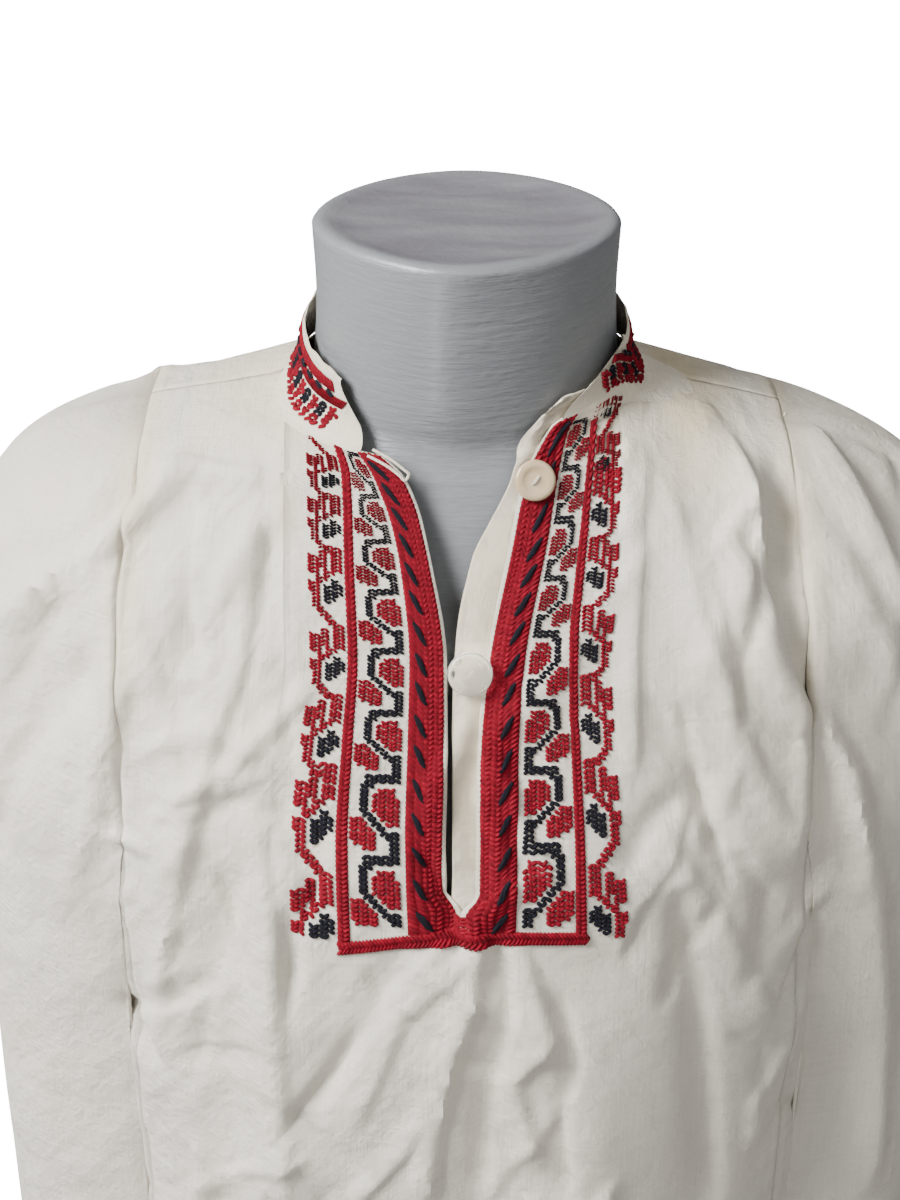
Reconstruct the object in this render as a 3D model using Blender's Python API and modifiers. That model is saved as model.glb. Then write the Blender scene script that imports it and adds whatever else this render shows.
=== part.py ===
"""Embroidered folk shirt of plain cotton, worn by a limbless plastic dress form.

Metres, +Z up. The form stands on z = 0, the front looks along -Y, and the wearer's right is at -X.
Every cloth piece is a thin wall on level slices of the shirt: a slice is a superellipse, given by its
half width, half depth, the place of its centre front to back, and its squareness.
"""

from collections import namedtuple

import bmesh
import bpy
import numpy as np

# Driving dimensions
FORM_HEIGHT = 0.880
CLOTH_WALL = 0.0012
COLLAR_WALL = 0.0018
SEAM_GAP = 0.0003
HEM_Z = 0.062
CUFF_Z = 0.245
UNDERARM_Z = 0.625
SLIT_FOOT_Z = 0.622
PANEL_HALF = 0.150
NECKLINE_Z = 0.8065
NECKLINE_SLOPE = 0.15
COLLAR_HEIGHT = 0.0245
EMBROIDERY_REACH = 0.0675
STITCH_WALL = 0.0008
BUTTON_RADIUS = 0.0087
BUTTON_HALF_WALL = 0.0012
THREAD_HOLE_RADIUS = 0.0008
LOOP_TAPE_RADIUS = 0.0008
FRONT, BACK = -1, 1
RIGHT, LEFT = -1, 1
SIDE_NAMES = {RIGHT: "right", LEFT: "left"}

Slice = namedtuple("Slice", "z half_width half_depth centre_y squareness")

FORM_RINGS = [
    Slice(0.000, 0.1640, 0.1070, 0.0000, 2.3),
    Slice(0.006, 0.1670, 0.1100, 0.0000, 2.3),
    Slice(0.100, 0.1730, 0.1150, 0.0010, 2.3),
    Slice(0.200, 0.1740, 0.1180, 0.0020, 2.3),
    Slice(0.300, 0.1600, 0.1080, 0.0000, 2.3),
    Slice(0.380, 0.1460, 0.1030, -0.0020, 2.3),
    Slice(0.440, 0.1500, 0.1090, -0.0030, 2.3),
    Slice(0.500, 0.1600, 0.1160, -0.0040, 2.3),
    Slice(0.550, 0.1700, 0.1190, -0.0050, 2.3),
    Slice(0.620, 0.1850, 0.1140, -0.0030, 2.3),
    Slice(0.660, 0.1930, 0.1070, 0.0010, 2.3),
    Slice(0.700, 0.1980, 0.0980, 0.0050, 2.2),
    Slice(0.730, 0.1975, 0.0900, 0.0090, 2.1),
    Slice(0.745, 0.1950, 0.0860, 0.0110, 2.0),
    Slice(0.757, 0.1900, 0.0825, 0.0125, 1.9),
    Slice(0.768, 0.1810, 0.0790, 0.0135, 1.8),
    Slice(0.778, 0.1660, 0.0750, 0.0138, 1.8),
    Slice(0.785, 0.1515, 0.0715, 0.0135, 1.8),
    Slice(0.7897, 0.1350, 0.0685, 0.0130, 1.8),
    Slice(0.7935, 0.1195, 0.0665, 0.0125, 1.8),
    Slice(0.7978, 0.0990, 0.0645, 0.0115, 1.8),
    Slice(0.8040, 0.0750, 0.0630, 0.0100, 1.9),
    Slice(0.820, 0.0665, 0.0615, 0.0080, 2.0),
    Slice(0.850, 0.0645, 0.0595, 0.0050, 2.0),
    Slice(0.8775, 0.0655, 0.0605, 0.0050, 2.0),
    Slice(FORM_HEIGHT, 0.0630, 0.0580, 0.0050, 2.0),
]
# The faint upright crest on the front of the neck
Crest = namedtuple("Crest", "x half_width stands_out")
NECK_CREST = Crest(-0.012, 0.020, 0.0025)

SHIRT_SLICES = [
    Slice(0.062, 0.1990, 0.1450, 0.0010, 2.3),
    Slice(0.200, 0.1920, 0.1430, 0.0000, 2.3),
    Slice(0.300, 0.1860, 0.1410, -0.0020, 2.3),
    Slice(0.380, 0.1820, 0.1390, -0.0040, 2.3),
    Slice(0.440, 0.1815, 0.1380, -0.0050, 2.3),
    Slice(0.500, 0.1835, 0.1355, -0.0060, 2.3),
    Slice(0.540, 0.1860, 0.1335, -0.0060, 2.3),
    Slice(0.580, 0.1900, 0.1305, -0.0045, 2.3),
    Slice(0.625, 0.1960, 0.1270, -0.0030, 2.3),
    Slice(0.660, 0.2080, 0.1210, 0.0015, 2.3),
    Slice(0.700, 0.2170, 0.1125, 0.0065, 2.2),
    Slice(0.720, 0.2185, 0.1070, 0.0090, 2.2),
    Slice(0.737, 0.2170, 0.1020, 0.0110, 2.1),
    Slice(0.750, 0.2140, 0.0975, 0.0125, 2.0),
    Slice(0.761, 0.2080, 0.0925, 0.0135, 1.9),
    Slice(0.769, 0.2000, 0.0890, 0.0140, 1.8),
    Slice(0.775, 0.1900, 0.0855, 0.0145, 1.8),
    Slice(0.779, 0.1800, 0.0835, 0.0145, 1.8),
    Slice(0.784, 0.1650, 0.0810, 0.0140, 1.8),
    Slice(0.788, 0.1500, 0.0790, 0.0135, 1.8),
    Slice(0.792, 0.1350, 0.0770, 0.0130, 1.8),
    Slice(0.796, 0.1200, 0.0755, 0.0125, 1.8),
    Slice(0.801, 0.1000, 0.0735, 0.0115, 1.8),
    Slice(0.8075, 0.0785, 0.0705, 0.0100, 1.9),
    Slice(0.825, 0.0705, 0.0670, 0.0075, 2.0),
    Slice(0.850, 0.0690, 0.0655, 0.0060, 2.0),
]
# The sleeve's outer layer keeps the shoulder's width below the shoulder, where the shirt's body turns in.
SLEEVE_SLICES = [
    Slice(0.245, 0.2260, 0.1300, -0.0030, 2.3),
    Slice(0.500, 0.2230, 0.1300, -0.0030, 2.3),
    Slice(0.625, 0.2190, 0.1270, -0.0030, 2.3),
    Slice(0.660, 0.2185, 0.1215, 0.0015, 2.3),
    *[ring for ring in SHIRT_SLICES if ring.z >= 0.700],
]

Seam = namedtuple("Seam", "z x")
PANEL_SEAM = [
    Seam(0.062, 0.156), Seam(0.540, 0.154), Seam(0.620, 0.152),
    Seam(0.700, 0.149), Seam(0.760, 0.144), Seam(0.800, 0.139),
]  # fmt: skip

# Distances from the shirt's centre to the slit's edge, the plait's outer edge, the frame line and the
# embroidery's outer edge, on each side: the open slit crowds the bands together below the collar.
Edges = namedtuple("Edges", "z slit plait frame reach")
RIGHT_EDGES = [
    Edges(0.605, 0.0082, 0.0252, 0.0504, 0.0770),
    Edges(0.645, 0.0088, 0.0262, 0.0508, 0.0755),
    Edges(0.690, 0.0080, 0.0248, 0.0480, 0.0700),
    Edges(0.722, 0.0083, 0.0240, 0.0458, 0.0660),
    Edges(0.760, 0.0149, 0.0282, 0.0473, 0.0667),
    Edges(0.789, 0.0250, 0.0385, 0.0485, 0.0672),
    Edges(0.803, 0.0430, 0.0500, 0.0545, 0.0680),
]
LEFT_EDGES = [
    Edges(0.605, 0.0040, 0.0215, 0.0476, 0.0706),
    Edges(0.645, 0.0043, 0.0218, 0.0464, 0.0670),
    Edges(0.690, 0.0050, 0.0220, 0.0440, 0.0625),
    Edges(0.722, 0.0085, 0.0244, 0.0427, 0.0608),
    Edges(0.760, 0.0165, 0.0322, 0.0460, 0.0637),
    Edges(0.789, 0.0250, 0.0400, 0.0510, 0.0645),
    Edges(0.803, 0.0430, 0.0500, 0.0550, 0.0665),
]
BAND_EDGES = {RIGHT: RIGHT_EDGES, LEFT: LEFT_EDGES}
SLIT_MIDDLE_X = -0.0021
FacingEdge = namedtuple("FacingEdge", "z x")
FACING_EDGE = [
    FacingEdge(0.618, -0.0060), FacingEdge(0.700, -0.0060), FacingEdge(0.730, -0.0045),
    FacingEdge(0.760, 0.0020), FacingEdge(0.789, 0.0196), FacingEdge(0.800, 0.0300),
]  # fmt: skip

# The hanging sleeve below the underarm: the middle of its outer and inner layer, and its two edges
SleeveLevel = namedtuple("SleeveLevel", "z outer_x inner_x front_x front_y back_x back_y")
SLEEVE_LEVELS = [
    SleeveLevel(0.245, 0.2270, 0.2070, 0.2160, -0.0780, 0.2160, 0.0740),
    SleeveLevel(0.325, 0.2275, 0.2060, 0.2140, -0.0740, 0.2140, 0.0750),
    SleeveLevel(0.400, 0.2270, 0.2045, 0.2100, -0.0710, 0.2100, 0.0760),
    SleeveLevel(0.470, 0.2250, 0.2020, 0.2035, -0.0690, 0.2035, 0.0770),
    SleeveLevel(0.531, 0.2230, 0.1990, 0.1930, -0.0690, 0.1930, 0.0780),
    SleeveLevel(0.577, 0.2210, 0.1975, 0.1800, -0.0735, 0.1800, 0.0800),
    SleeveLevel(0.600, 0.2200, 0.1975, 0.1690, -0.0815, 0.1690, 0.0840),
    SleeveLevel(0.612, 0.2195, 0.1975, 0.1610, -0.0870, 0.1610, 0.0880),
]

# The largest folds of the body: a line from its top to its low end, its half width, and how far it stands out
Fold = namedtuple("Fold", "face top_x top_z low_x low_z half_width depth")
FOLDS = [
    Fold(FRONT, -0.084, 0.690, -0.094, 0.062, 0.016, 0.0045),
    Fold(FRONT, -0.104, 0.700, -0.132, 0.062, 0.015, -0.0045),
    Fold(FRONT, 0.010, 0.590, 0.002, 0.062, 0.020, -0.0050),
    Fold(FRONT, 0.056, 0.590, 0.070, 0.062, 0.018, 0.0045),
    Fold(FRONT, 0.096, 0.720, 0.118, 0.300, 0.016, -0.0035),
    Fold(FRONT, 0.096, 0.775, 0.148, 0.685, 0.013, 0.0030),
    Fold(FRONT, -0.106, 0.775, -0.150, 0.700, 0.013, 0.0030),
    Fold(BACK, -0.070, 0.700, -0.082, 0.062, 0.018, -0.0050),
    Fold(BACK, 0.006, 0.660, -0.010, 0.062, 0.020, 0.0050),
    Fold(BACK, 0.078, 0.710, 0.090, 0.062, 0.018, -0.0050),
]

# The largest folds of a sleeve's outer layer, at shares of its width from the front (0) to the back (1)
SleeveFold = namedtuple("SleeveFold", "top_share top_z low_share low_z half_width depth")
SLEEVE_FOLDS = [
    SleeveFold(0.08, 0.730, 0.30, 0.590, 0.075, -0.0040),
    SleeveFold(0.22, 0.745, 0.46, 0.540, 0.080, 0.0040),
    SleeveFold(0.52, 0.620, 0.58, 0.245, 0.080, -0.0040),
    SleeveFold(0.92, 0.730, 0.70, 0.580, 0.075, -0.0040),
    SleeveFold(0.30, 0.480, 0.26, 0.245, 0.080, 0.0035),
]

# Where the stitched bands lie on the front panel, as distances along the cloth from the slit's edge
PLAIT_BAND = (0.0018, 0.0188)
FRAME_LINE = (0.0427, 0.0477)
FRAME_FOOT_Z = (0.6085, 0.5995)
PANEL_COLUMNS = [
    0, *PLAIT_BAND, 0.0305, *FRAME_LINE, EMBROIDERY_REACH, 0.0765, 0.089, 0.108, 0.128,
    PANEL_HALF - SEAM_GAP / 2,
]  # fmt: skip
SLIT_ROWS = 14
LOW_ROWS_Z = [
    0.614, *FRAME_FOOT_Z, 0.580, 0.552, 0.520, 0.485, 0.445,
    0.405, 0.360, 0.315, 0.265, 0.215, 0.165, 0.112, HEM_Z,
]  # fmt: skip
SIDE_ROWS_Z = [
    UNDERARM_Z - 0.0015, 0.600, 0.570, 0.535, 0.495, 0.450,
    0.400, 0.345, 0.285, 0.225, 0.165, 0.112, HEM_Z,
]  # fmt: skip


def smooth_read(places, values, at):
    """Monotone cubic through the table's points, held level beyond its ends."""
    places, values = np.asarray(places, float), np.asarray(values, float)
    at = np.clip(at, places[0], places[-1])
    gap = np.diff(places)
    rise = np.diff(values) / gap
    same_way = rise[:-1] * rise[1:] > 0
    before, after = np.where(same_way, rise[:-1], 1), np.where(same_way, rise[1:], 1)
    weight_before, weight_after = 2 * gap[1:] + gap[:-1], gap[1:] + 2 * gap[:-1]
    mean = (weight_before + weight_after) / (weight_before / before + weight_after / after)
    slope = np.concatenate([rise[:1], np.where(same_way, mean, 0), rise[-1:]])
    k = np.clip(np.searchsorted(places, at, side="right") - 1, 0, len(gap) - 1)
    t = (at - places[k]) / gap[k]
    return (
        values[k] * (1 + 2 * t) * (1 - t) ** 2
        + values[k + 1] * t * t * (3 - 2 * t)
        + gap[k] * t * (1 - t) * (slope[k] * (1 - t) - slope[k + 1] * t)
    )


def read_table(table, column, z):
    return smooth_read([row.z for row in table], [getattr(row, column) for row in table], z)


def read_slice(table, z):
    return Slice(z, *[read_table(table, column, z) for column in Slice._fields[1:]])


def round_slice(ring, turn):
    """x and y of a slice at angles round its centre."""
    radius = (
        np.abs(np.cos(turn) / ring.half_width) ** ring.squareness
        + np.abs(np.sin(turn) / ring.half_depth) ** ring.squareness
    ) ** (-1 / ring.squareness)
    return radius * np.cos(turn), ring.centre_y + radius * np.sin(turn)


def fade(t):
    """Smooth step from 0 at t = 0 to 1 at t = 1."""
    t = np.clip(t, 0, 1)
    return t * t * (3 - 2 * t)


def fold_out(x, z, face):
    """How far the folds push the cloth out of its slice, none of it past the side of the body."""
    out = 0 * x
    for fold in FOLDS:
        if fold.face != face:
            continue
        along = (fold.top_z - z) / (fold.top_z - fold.low_z)
        middle = fold.top_x + (fold.low_x - fold.top_x) * along
        ends = fade(along * 4) * (1 - fade((along - 1) * 12))
        out = out + fold.depth * ends * np.exp(-(((x - middle) / fold.half_width) ** 2))
    return out * (1 - fade((np.abs(x) - 0.142) / 0.012))


def body_y(table, x, z, face):
    """Depth of the slice's front or back at x."""
    _, half_width, half_depth, centre_y, power = read_slice(table, z)
    left_over = np.clip(1 - (np.abs(x) / half_width) ** power, 0, None)
    return centre_y + face * (half_depth * left_over ** (1 / power) + fold_out(x, z, face))


def slice_arc(table, z, from_x, share, grow=0):
    """Points round the side of one slice, from its front at from_x (share 0) to its back (share 1)."""
    _, half_width, half_depth, centre_y, power = read_slice(table, z)
    half_width, half_depth = half_width + grow, half_depth + grow
    end = np.arccos((from_x / half_width) ** (power / 2))
    turn = end * (2 * share - 1)
    x = half_width * np.cos(turn) ** (2 / power)
    y = centre_y + half_depth * np.sign(turn) * np.abs(np.sin(turn)) ** (2 / power)
    return np.stack([x, y, np.full_like(x, z)], axis=-1)


def pull_ends(arc, front, back, share, reach=0.3):
    """Moves the arc's two ends to given points, and its middle not at all."""
    to_front = (1 - fade(share / reach))[:, None]
    to_back = (1 - fade((1 - share) / reach))[:, None]
    return arc + (front - arc[0]) * to_front + (back - arc[-1]) * to_back


def crease_sleeve(arc, z, share):
    """Pushes one level of a sleeve's outer layer in and out along its folds."""
    along_arc = np.gradient(arc[:, :2], axis=0)
    outward = np.stack([along_arc[:, 1], -along_arc[:, 0]], axis=1)
    outward /= np.linalg.norm(outward, axis=1, keepdims=True)
    out = 0 * share
    for fold in SLEEVE_FOLDS:
        along = (fold.top_z - z) / (fold.top_z - fold.low_z)
        middle = fold.top_share + (fold.low_share - fold.top_share) * along
        ends = fade(along * 4) * (1 - fade((along - 1) * 4))
        out = out + fold.depth * ends * np.exp(-(((share - middle) / fold.half_width) ** 2))
    out *= fade(share / 0.12) * fade((1 - share) / 0.12)
    return arc + np.column_stack([outward * out[:, None], 0 * out])


def seam_x(z):
    return read_table(PANEL_SEAM, "x", z)


def front_x(p, z, side, slit=True):
    """Distance from the shirt's centre at cloth distance p from the slit's edge, or from its middle line."""
    table = BAND_EDGES[side]
    start = read_table(table, "slit", z) if slit else side * SLIT_MIDDLE_X + 0 * z
    bands = [read_table(table, column, z) for column in ("plait", "frame", "reach")]
    places = [start, *bands, seam_x(z)]
    knots = [0, PLAIT_BAND[1], FRAME_LINE[0], EMBROIDERY_REACH, PANEL_HALF]
    x = start
    for k in range(4):
        share = np.clip((p - knots[k]) / (knots[k + 1] - knots[k]), 0, 1)
        x = x + share * (places[k + 1] - places[k])
    return x


def back_x(p, z):
    return p * seam_x(z) / PANEL_HALF


def panel_x(p, z, side, face, slit):
    return front_x(p, z, side, slit) if face == FRONT else back_x(p, z)


def column_down(p, side, face, low_z, shares):
    """Points of one panel column from the neckline or the shoulder's ridge down to low_z."""

    def below_top(z):
        x = panel_x(p, z, side, face, slit=True)
        plane = NECKLINE_Z + NECKLINE_SLOPE * body_y(SHIRT_SLICES, x, z, face) - z
        return min(plane, read_table(SHIRT_SLICES, "half_width", z) - x)

    low, high = 0.70, 0.84
    for _ in range(40):
        middle = (low + high) / 2
        low, high = (middle, high) if below_top(middle) > 0 else (low, middle)
    step = np.linspace(0, 1, 400)
    z = low - (low - low_z) * step**2
    x = panel_x(p, z, side, face, slit=True)
    points = np.stack([side * x, body_y(SHIRT_SLICES, side * x, z, face), z], axis=-1)
    length = np.concatenate([[0], np.cumsum(np.linalg.norm(np.diff(points, axis=0), axis=1))])
    return np.stack([np.interp(shares * length[-1], length, points[:, k]) for k in range(3)], axis=-1)


def panel_half(side, face, columns, top_rows, low_z, rows_z):
    """One half of the front or back panel as a grid: rows downwards, columns outwards from its centre."""
    shares = np.linspace(0, 1, top_rows + 1)
    columns = np.asarray(columns, float)
    top = np.stack([column_down(p, side, face, low_z, shares) for p in columns], axis=1)
    z = np.asarray(rows_z)[:, None] + 0 * columns
    x = side * panel_x(columns + 0 * z, z, side, face, slit=False)
    return np.concatenate([top, np.stack([x, body_y(SHIRT_SLICES, x, z, face), z], axis=-1)])


def grid_normals(grid):
    """Unit normals of a grid of points, pointing away from the shirt's upright axis."""
    normal = np.cross(np.gradient(grid, axis=0), np.gradient(grid, axis=1))
    normal /= np.linalg.norm(normal, axis=-1, keepdims=True)
    outward = (normal * (grid * [1, 1, 0])).sum(axis=-1).mean()
    return normal if outward > 0 else -normal


def lay_over(grid, wall, over=CLOTH_WALL, lift=SEAM_GAP):
    """The middle of a wall that lies on a panel, from the panel's own points moved out."""
    return grid + grid_normals(grid) * (over / 2 + lift + wall / 2)


def grid_faces(rows, columns, start=0):
    index = start + np.arange(rows * columns).reshape(rows, columns)
    corners = [index[:-1, :-1], index[:-1, 1:], index[1:, 1:], index[1:, :-1]]
    return np.stack(corners, axis=-1).reshape(-1, 4)


def open_surface(name, *grids):
    """One mesh of several grids, with the points that they share merged."""
    points = np.concatenate([grid.reshape(-1, 3) for grid in grids])
    starts = np.cumsum([0] + [grid.shape[0] * grid.shape[1] for grid in grids])
    faces = np.concatenate([grid_faces(*grid.shape[:2], start) for grid, start in zip(grids, starts)])
    mesh = bpy.data.meshes.new(name)
    mesh.from_pydata(points.tolist(), [], faces.tolist())
    body = bmesh.new()
    body.from_mesh(mesh)
    bmesh.ops.remove_doubles(body, verts=body.verts, dist=0.00002)
    bmesh.ops.recalc_face_normals(body, faces=body.faces)
    body.to_mesh(mesh)
    body.free()
    return mesh


def material(name, colour, roughness, **others):
    made = bpy.data.materials.new(name)
    made.use_nodes = True
    shader = made.node_tree.nodes["Principled BSDF"]
    shader.inputs["Base Color"].default_value = (*colour, 1)
    shader.inputs["Roughness"].default_value = roughness
    for socket, value in others.items():
        shader.inputs[socket.replace("_", " ")].default_value = value
    return made


def add_object(name, mesh, finish):
    obj = bpy.data.objects.new(name, mesh)
    mesh.materials.append(finish)
    mesh.shade_smooth()
    mesh.set_sharp_from_angle(angle=np.radians(50))
    shirt_collection.objects.link(obj)
    return obj


def cloth_wall(name, finish, wall, *grids):
    """A thin closed wall about the surface of the grids."""
    obj = add_object(name, open_surface(name, *grids), finish)
    solidify = obj.modifiers.new("wall", "SOLIDIFY")
    solidify.thickness = wall
    solidify.offset = 0
    return obj


def front_halves():
    return {
        side: panel_half(side, FRONT, PANEL_COLUMNS, SLIT_ROWS, SLIT_FOOT_Z, LOW_ROWS_Z)
        for side in (RIGHT, LEFT)
    }


def back_panel(finish):
    columns = np.array([0, 0.022, 0.044, 0.065, 0.086, 0.108, 0.130, PANEL_HALF - SEAM_GAP / 2])
    halves = [panel_half(side, BACK, columns, 12, SLIT_FOOT_Z, SIDE_ROWS_Z[1:]) for side in (RIGHT, LEFT)]
    # The shoulder seam: the back panel stays clear of the front panel's top edge.
    for half in halves:
        half[0] += (half[1] - half[0]) * SEAM_GAP / np.linalg.norm(half[1] - half[0], axis=1)[:, None]
    cloth_wall("back_panel", finish, CLOTH_WALL, *halves)


def side_panel(side, finish):
    share = np.linspace(0, 1, 7)
    rows = [slice_arc(SHIRT_SLICES, z, seam_x(z) + SEAM_GAP / 2, share) for z in SIDE_ROWS_Z]
    grid = np.stack(rows) * [side, 1, 1]
    cloth_wall(f"{SIDE_NAMES[side]}_side_panel", finish, CLOTH_WALL, grid)


def seam_ends(z, clear):
    """Where the sleeve meets the front and back panels at z, moved out by clear."""
    x = seam_x(z) + SEAM_GAP
    return [
        np.array([x, body_y(SHIRT_SLICES, x, z, face) + face * clear, z]) for face in (FRONT, BACK)
    ]


def sleeve_ring(z, share, layer):
    """One level of the hanging sleeve: a bent lens, blended into the shoulder's slice at the underarm."""
    level = SleeveLevel(z, *[read_table(SLEEVE_LEVELS, name, z) for name in SleeveLevel._fields[1:]])
    across = np.sin(np.pi * (share - 0.5))
    edge_x = level.front_x + (level.back_x - level.front_x) * share
    middle = (level.outer_x + level.inner_x) / 2
    half_gap = (level.outer_x - level.inner_x) / 2 * np.sqrt(1 - across**4)
    x = middle - (middle - edge_x) * np.abs(across) ** 2.4 + layer * half_gap
    y = level.front_y + (level.back_y - level.front_y) * (across + 1) / 2
    lens = np.stack([x, y, np.full_like(x, z)], axis=-1)
    table, grow = (SLEEVE_SLICES, 0) if layer > 0 else (SHIRT_SLICES, 0.004)
    arc = pull_ends(slice_arc(table, z, seam_x(z), share, grow), lens[0], lens[-1], share)
    drop = fade((UNDERARM_Z - z) / 0.055)
    return arc + (lens - arc) * drop


def sleeve(side, finish):
    share = np.linspace(0, 1, 15)
    z_table = np.linspace(0.72, 0.80, 400)
    widths = read_table(SHIRT_SLICES, "half_width", z_table)
    # The armhole's seam crosses the shoulder's ridge where the slice is as wide as the panel.
    ridge_z = np.interp(0, -(widths - seam_x(z_table) - SEAM_GAP), z_table)
    cap_widths = [0.1440, 0.1510, 0.1610, 0.1720, 0.1830, 0.1930, 0.2020, 0.2095, 0.2150]
    cap_z = [np.interp(-width, -widths, z_table) for width in cap_widths]
    cap_z += [0.717, 0.695, 0.672, 0.650, 0.637]
    cap = []
    for z in cap_z:
        front, back = seam_ends(z, 0)
        arc = pull_ends(slice_arc(SLEEVE_SLICES, z, front[0], share), front, back, share)
        cap.append(crease_sleeve(arc, z, share))
    crest = cap[0].copy()
    crest[:, 0] = seam_x(ridge_z) + SEAM_GAP
    crest[:, 1] = cap[0][0, 1] + (cap[0][-1, 1] - cap[0][0, 1]) * share
    crest[:, 2] = ridge_z - (ridge_z - cap_z[0]) * np.abs(2 * share - 1) ** 1.8
    # At the underarm the sleeve stands just outside the side panel that is sewn to it.
    front, back = seam_ends(UNDERARM_Z, CLOTH_WALL + SEAM_GAP + 0.0001)
    front[0] = back[0] = front[0] + CLOTH_WALL
    outer_ring = pull_ends(slice_arc(SLEEVE_SLICES, UNDERARM_Z, front[0], share), front, back, share)
    outer_ring = crease_sleeve(outer_ring, UNDERARM_Z, share)
    inner_ring = slice_arc(SHIRT_SLICES, UNDERARM_Z, front[0], share, CLOTH_WALL + 0.0005)
    inner_ring = pull_ends(inner_ring, front, back, share)
    tube_z = [0.612, 0.596, 0.574, 0.547, 0.514, 0.474, 0.428, 0.378, 0.330, 0.286, CUFF_Z]
    outer_tube = [crease_sleeve(sleeve_ring(z, share, 1), z, share) for z in tube_z]
    outer = np.stack([crest, *cap, outer_ring, *outer_tube])
    inner = np.stack([inner_ring, *[sleeve_ring(z, share, -1) for z in tube_z]])
    mirror = np.array([side, 1, 1])
    cloth_wall(f"{SIDE_NAMES[side]}_sleeve", finish, CLOTH_WALL, outer * mirror, inner * mirror)


def neckline(turn):
    """Points where the neckline's plane cuts the shirt, at angles round the neck."""
    low, high = np.full_like(turn, 0.77), np.full_like(turn, 0.84)
    for _ in range(40):
        z = (low + high) / 2
        x, y = round_slice(read_slice(SHIRT_SLICES, z), turn)
        above = z > NECKLINE_Z + NECKLINE_SLOPE * y
        low, high = np.where(above, low, z), np.where(above, z, high)
    return np.stack([x, y, z], axis=-1)


def collar_point(foot, turn, height):
    """A point of the collar at a height above the neckline: it keeps to the slices as it rises."""
    z = foot[:, 2] + height
    return np.stack([*round_slice(read_slice(SHIRT_SLICES, z), turn), z], axis=-1)


def collar_band(finish):
    end_turn = np.arctan2(-0.0655, 0.0435)
    turn = np.linspace(end_turn, np.pi - end_turn, 41)
    foot = neckline(turn)
    heights = [0.0015, 0.0085, 0.0165, COLLAR_HEIGHT]
    grid = np.stack([collar_point(foot, turn, height) for height in heights])
    cloth_wall("collar_band", finish, COLLAR_WALL, grid)


def slit_facing(finish):
    """The cream strip that shows behind the open slit, sewn along the wearer's left edge."""
    z = np.linspace(0.618, 0.791, 16)[:, None]
    free_edge = read_table(FACING_EDGE, "x", z)
    sewn_edge = read_table(LEFT_EDGES, "slit", z) + 0.008
    x = free_edge + (sewn_edge - free_edge) * np.linspace(0, 1, 4)
    grid = np.stack([x, body_y(SHIRT_SLICES, x, z + 0 * x, FRONT), z + 0 * x], axis=-1)
    behind = grid - grid_normals(grid) * (CLOTH_WALL + 3 * SEAM_GAP)
    cloth_wall("slit_facing", finish, CLOTH_WALL, behind)


def stitched_bands(halves, finish):
    """Plaits, frame lines and the frame's foot: thick satin stitch that stands on the front panel."""
    foot_row = SLIT_ROWS + 1 + LOW_ROWS_Z.index(FRAME_FOOT_Z[0])
    for side, half in halves.items():
        over = lay_over(half, STITCH_WALL)
        for name, (start, end) in (("plait_band", PLAIT_BAND), ("frame_line", FRAME_LINE)):
            first, last = PANEL_COLUMNS.index(start), PANEL_COLUMNS.index(end)
            strip = over[: foot_row + 1, first : last + 1].copy()
            strip[0] += (strip[1] - strip[0]) * 0.1
            strip[-1] += (strip[-2] - strip[-1]) * 0.1
            cloth_wall(f"{SIDE_NAMES[side]}_{name}", finish, STITCH_WALL, strip)
    last = PANEL_COLUMNS.index(FRAME_LINE[1])
    rows = slice(foot_row, foot_row + 2)
    both = np.concatenate([halves[RIGHT][rows, last:0:-1], halves[LEFT][rows, : last + 1]], axis=1)
    cloth_wall("frame_foot", finish, STITCH_WALL, lay_over(both, STITCH_WALL))


def surface_frame(x, z):
    """A point of the front panel and its outward normal."""
    step = 0.002
    at = np.array([x, body_y(SHIRT_SLICES, x, z, FRONT), z])
    across = np.array([x + step, body_y(SHIRT_SLICES, x + step, z, FRONT), z]) - at
    up = np.array([x, body_y(SHIRT_SLICES, x, z + step, FRONT), z + step]) - at
    normal = np.cross(across, up)
    return at, normal / np.linalg.norm(normal)


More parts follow.
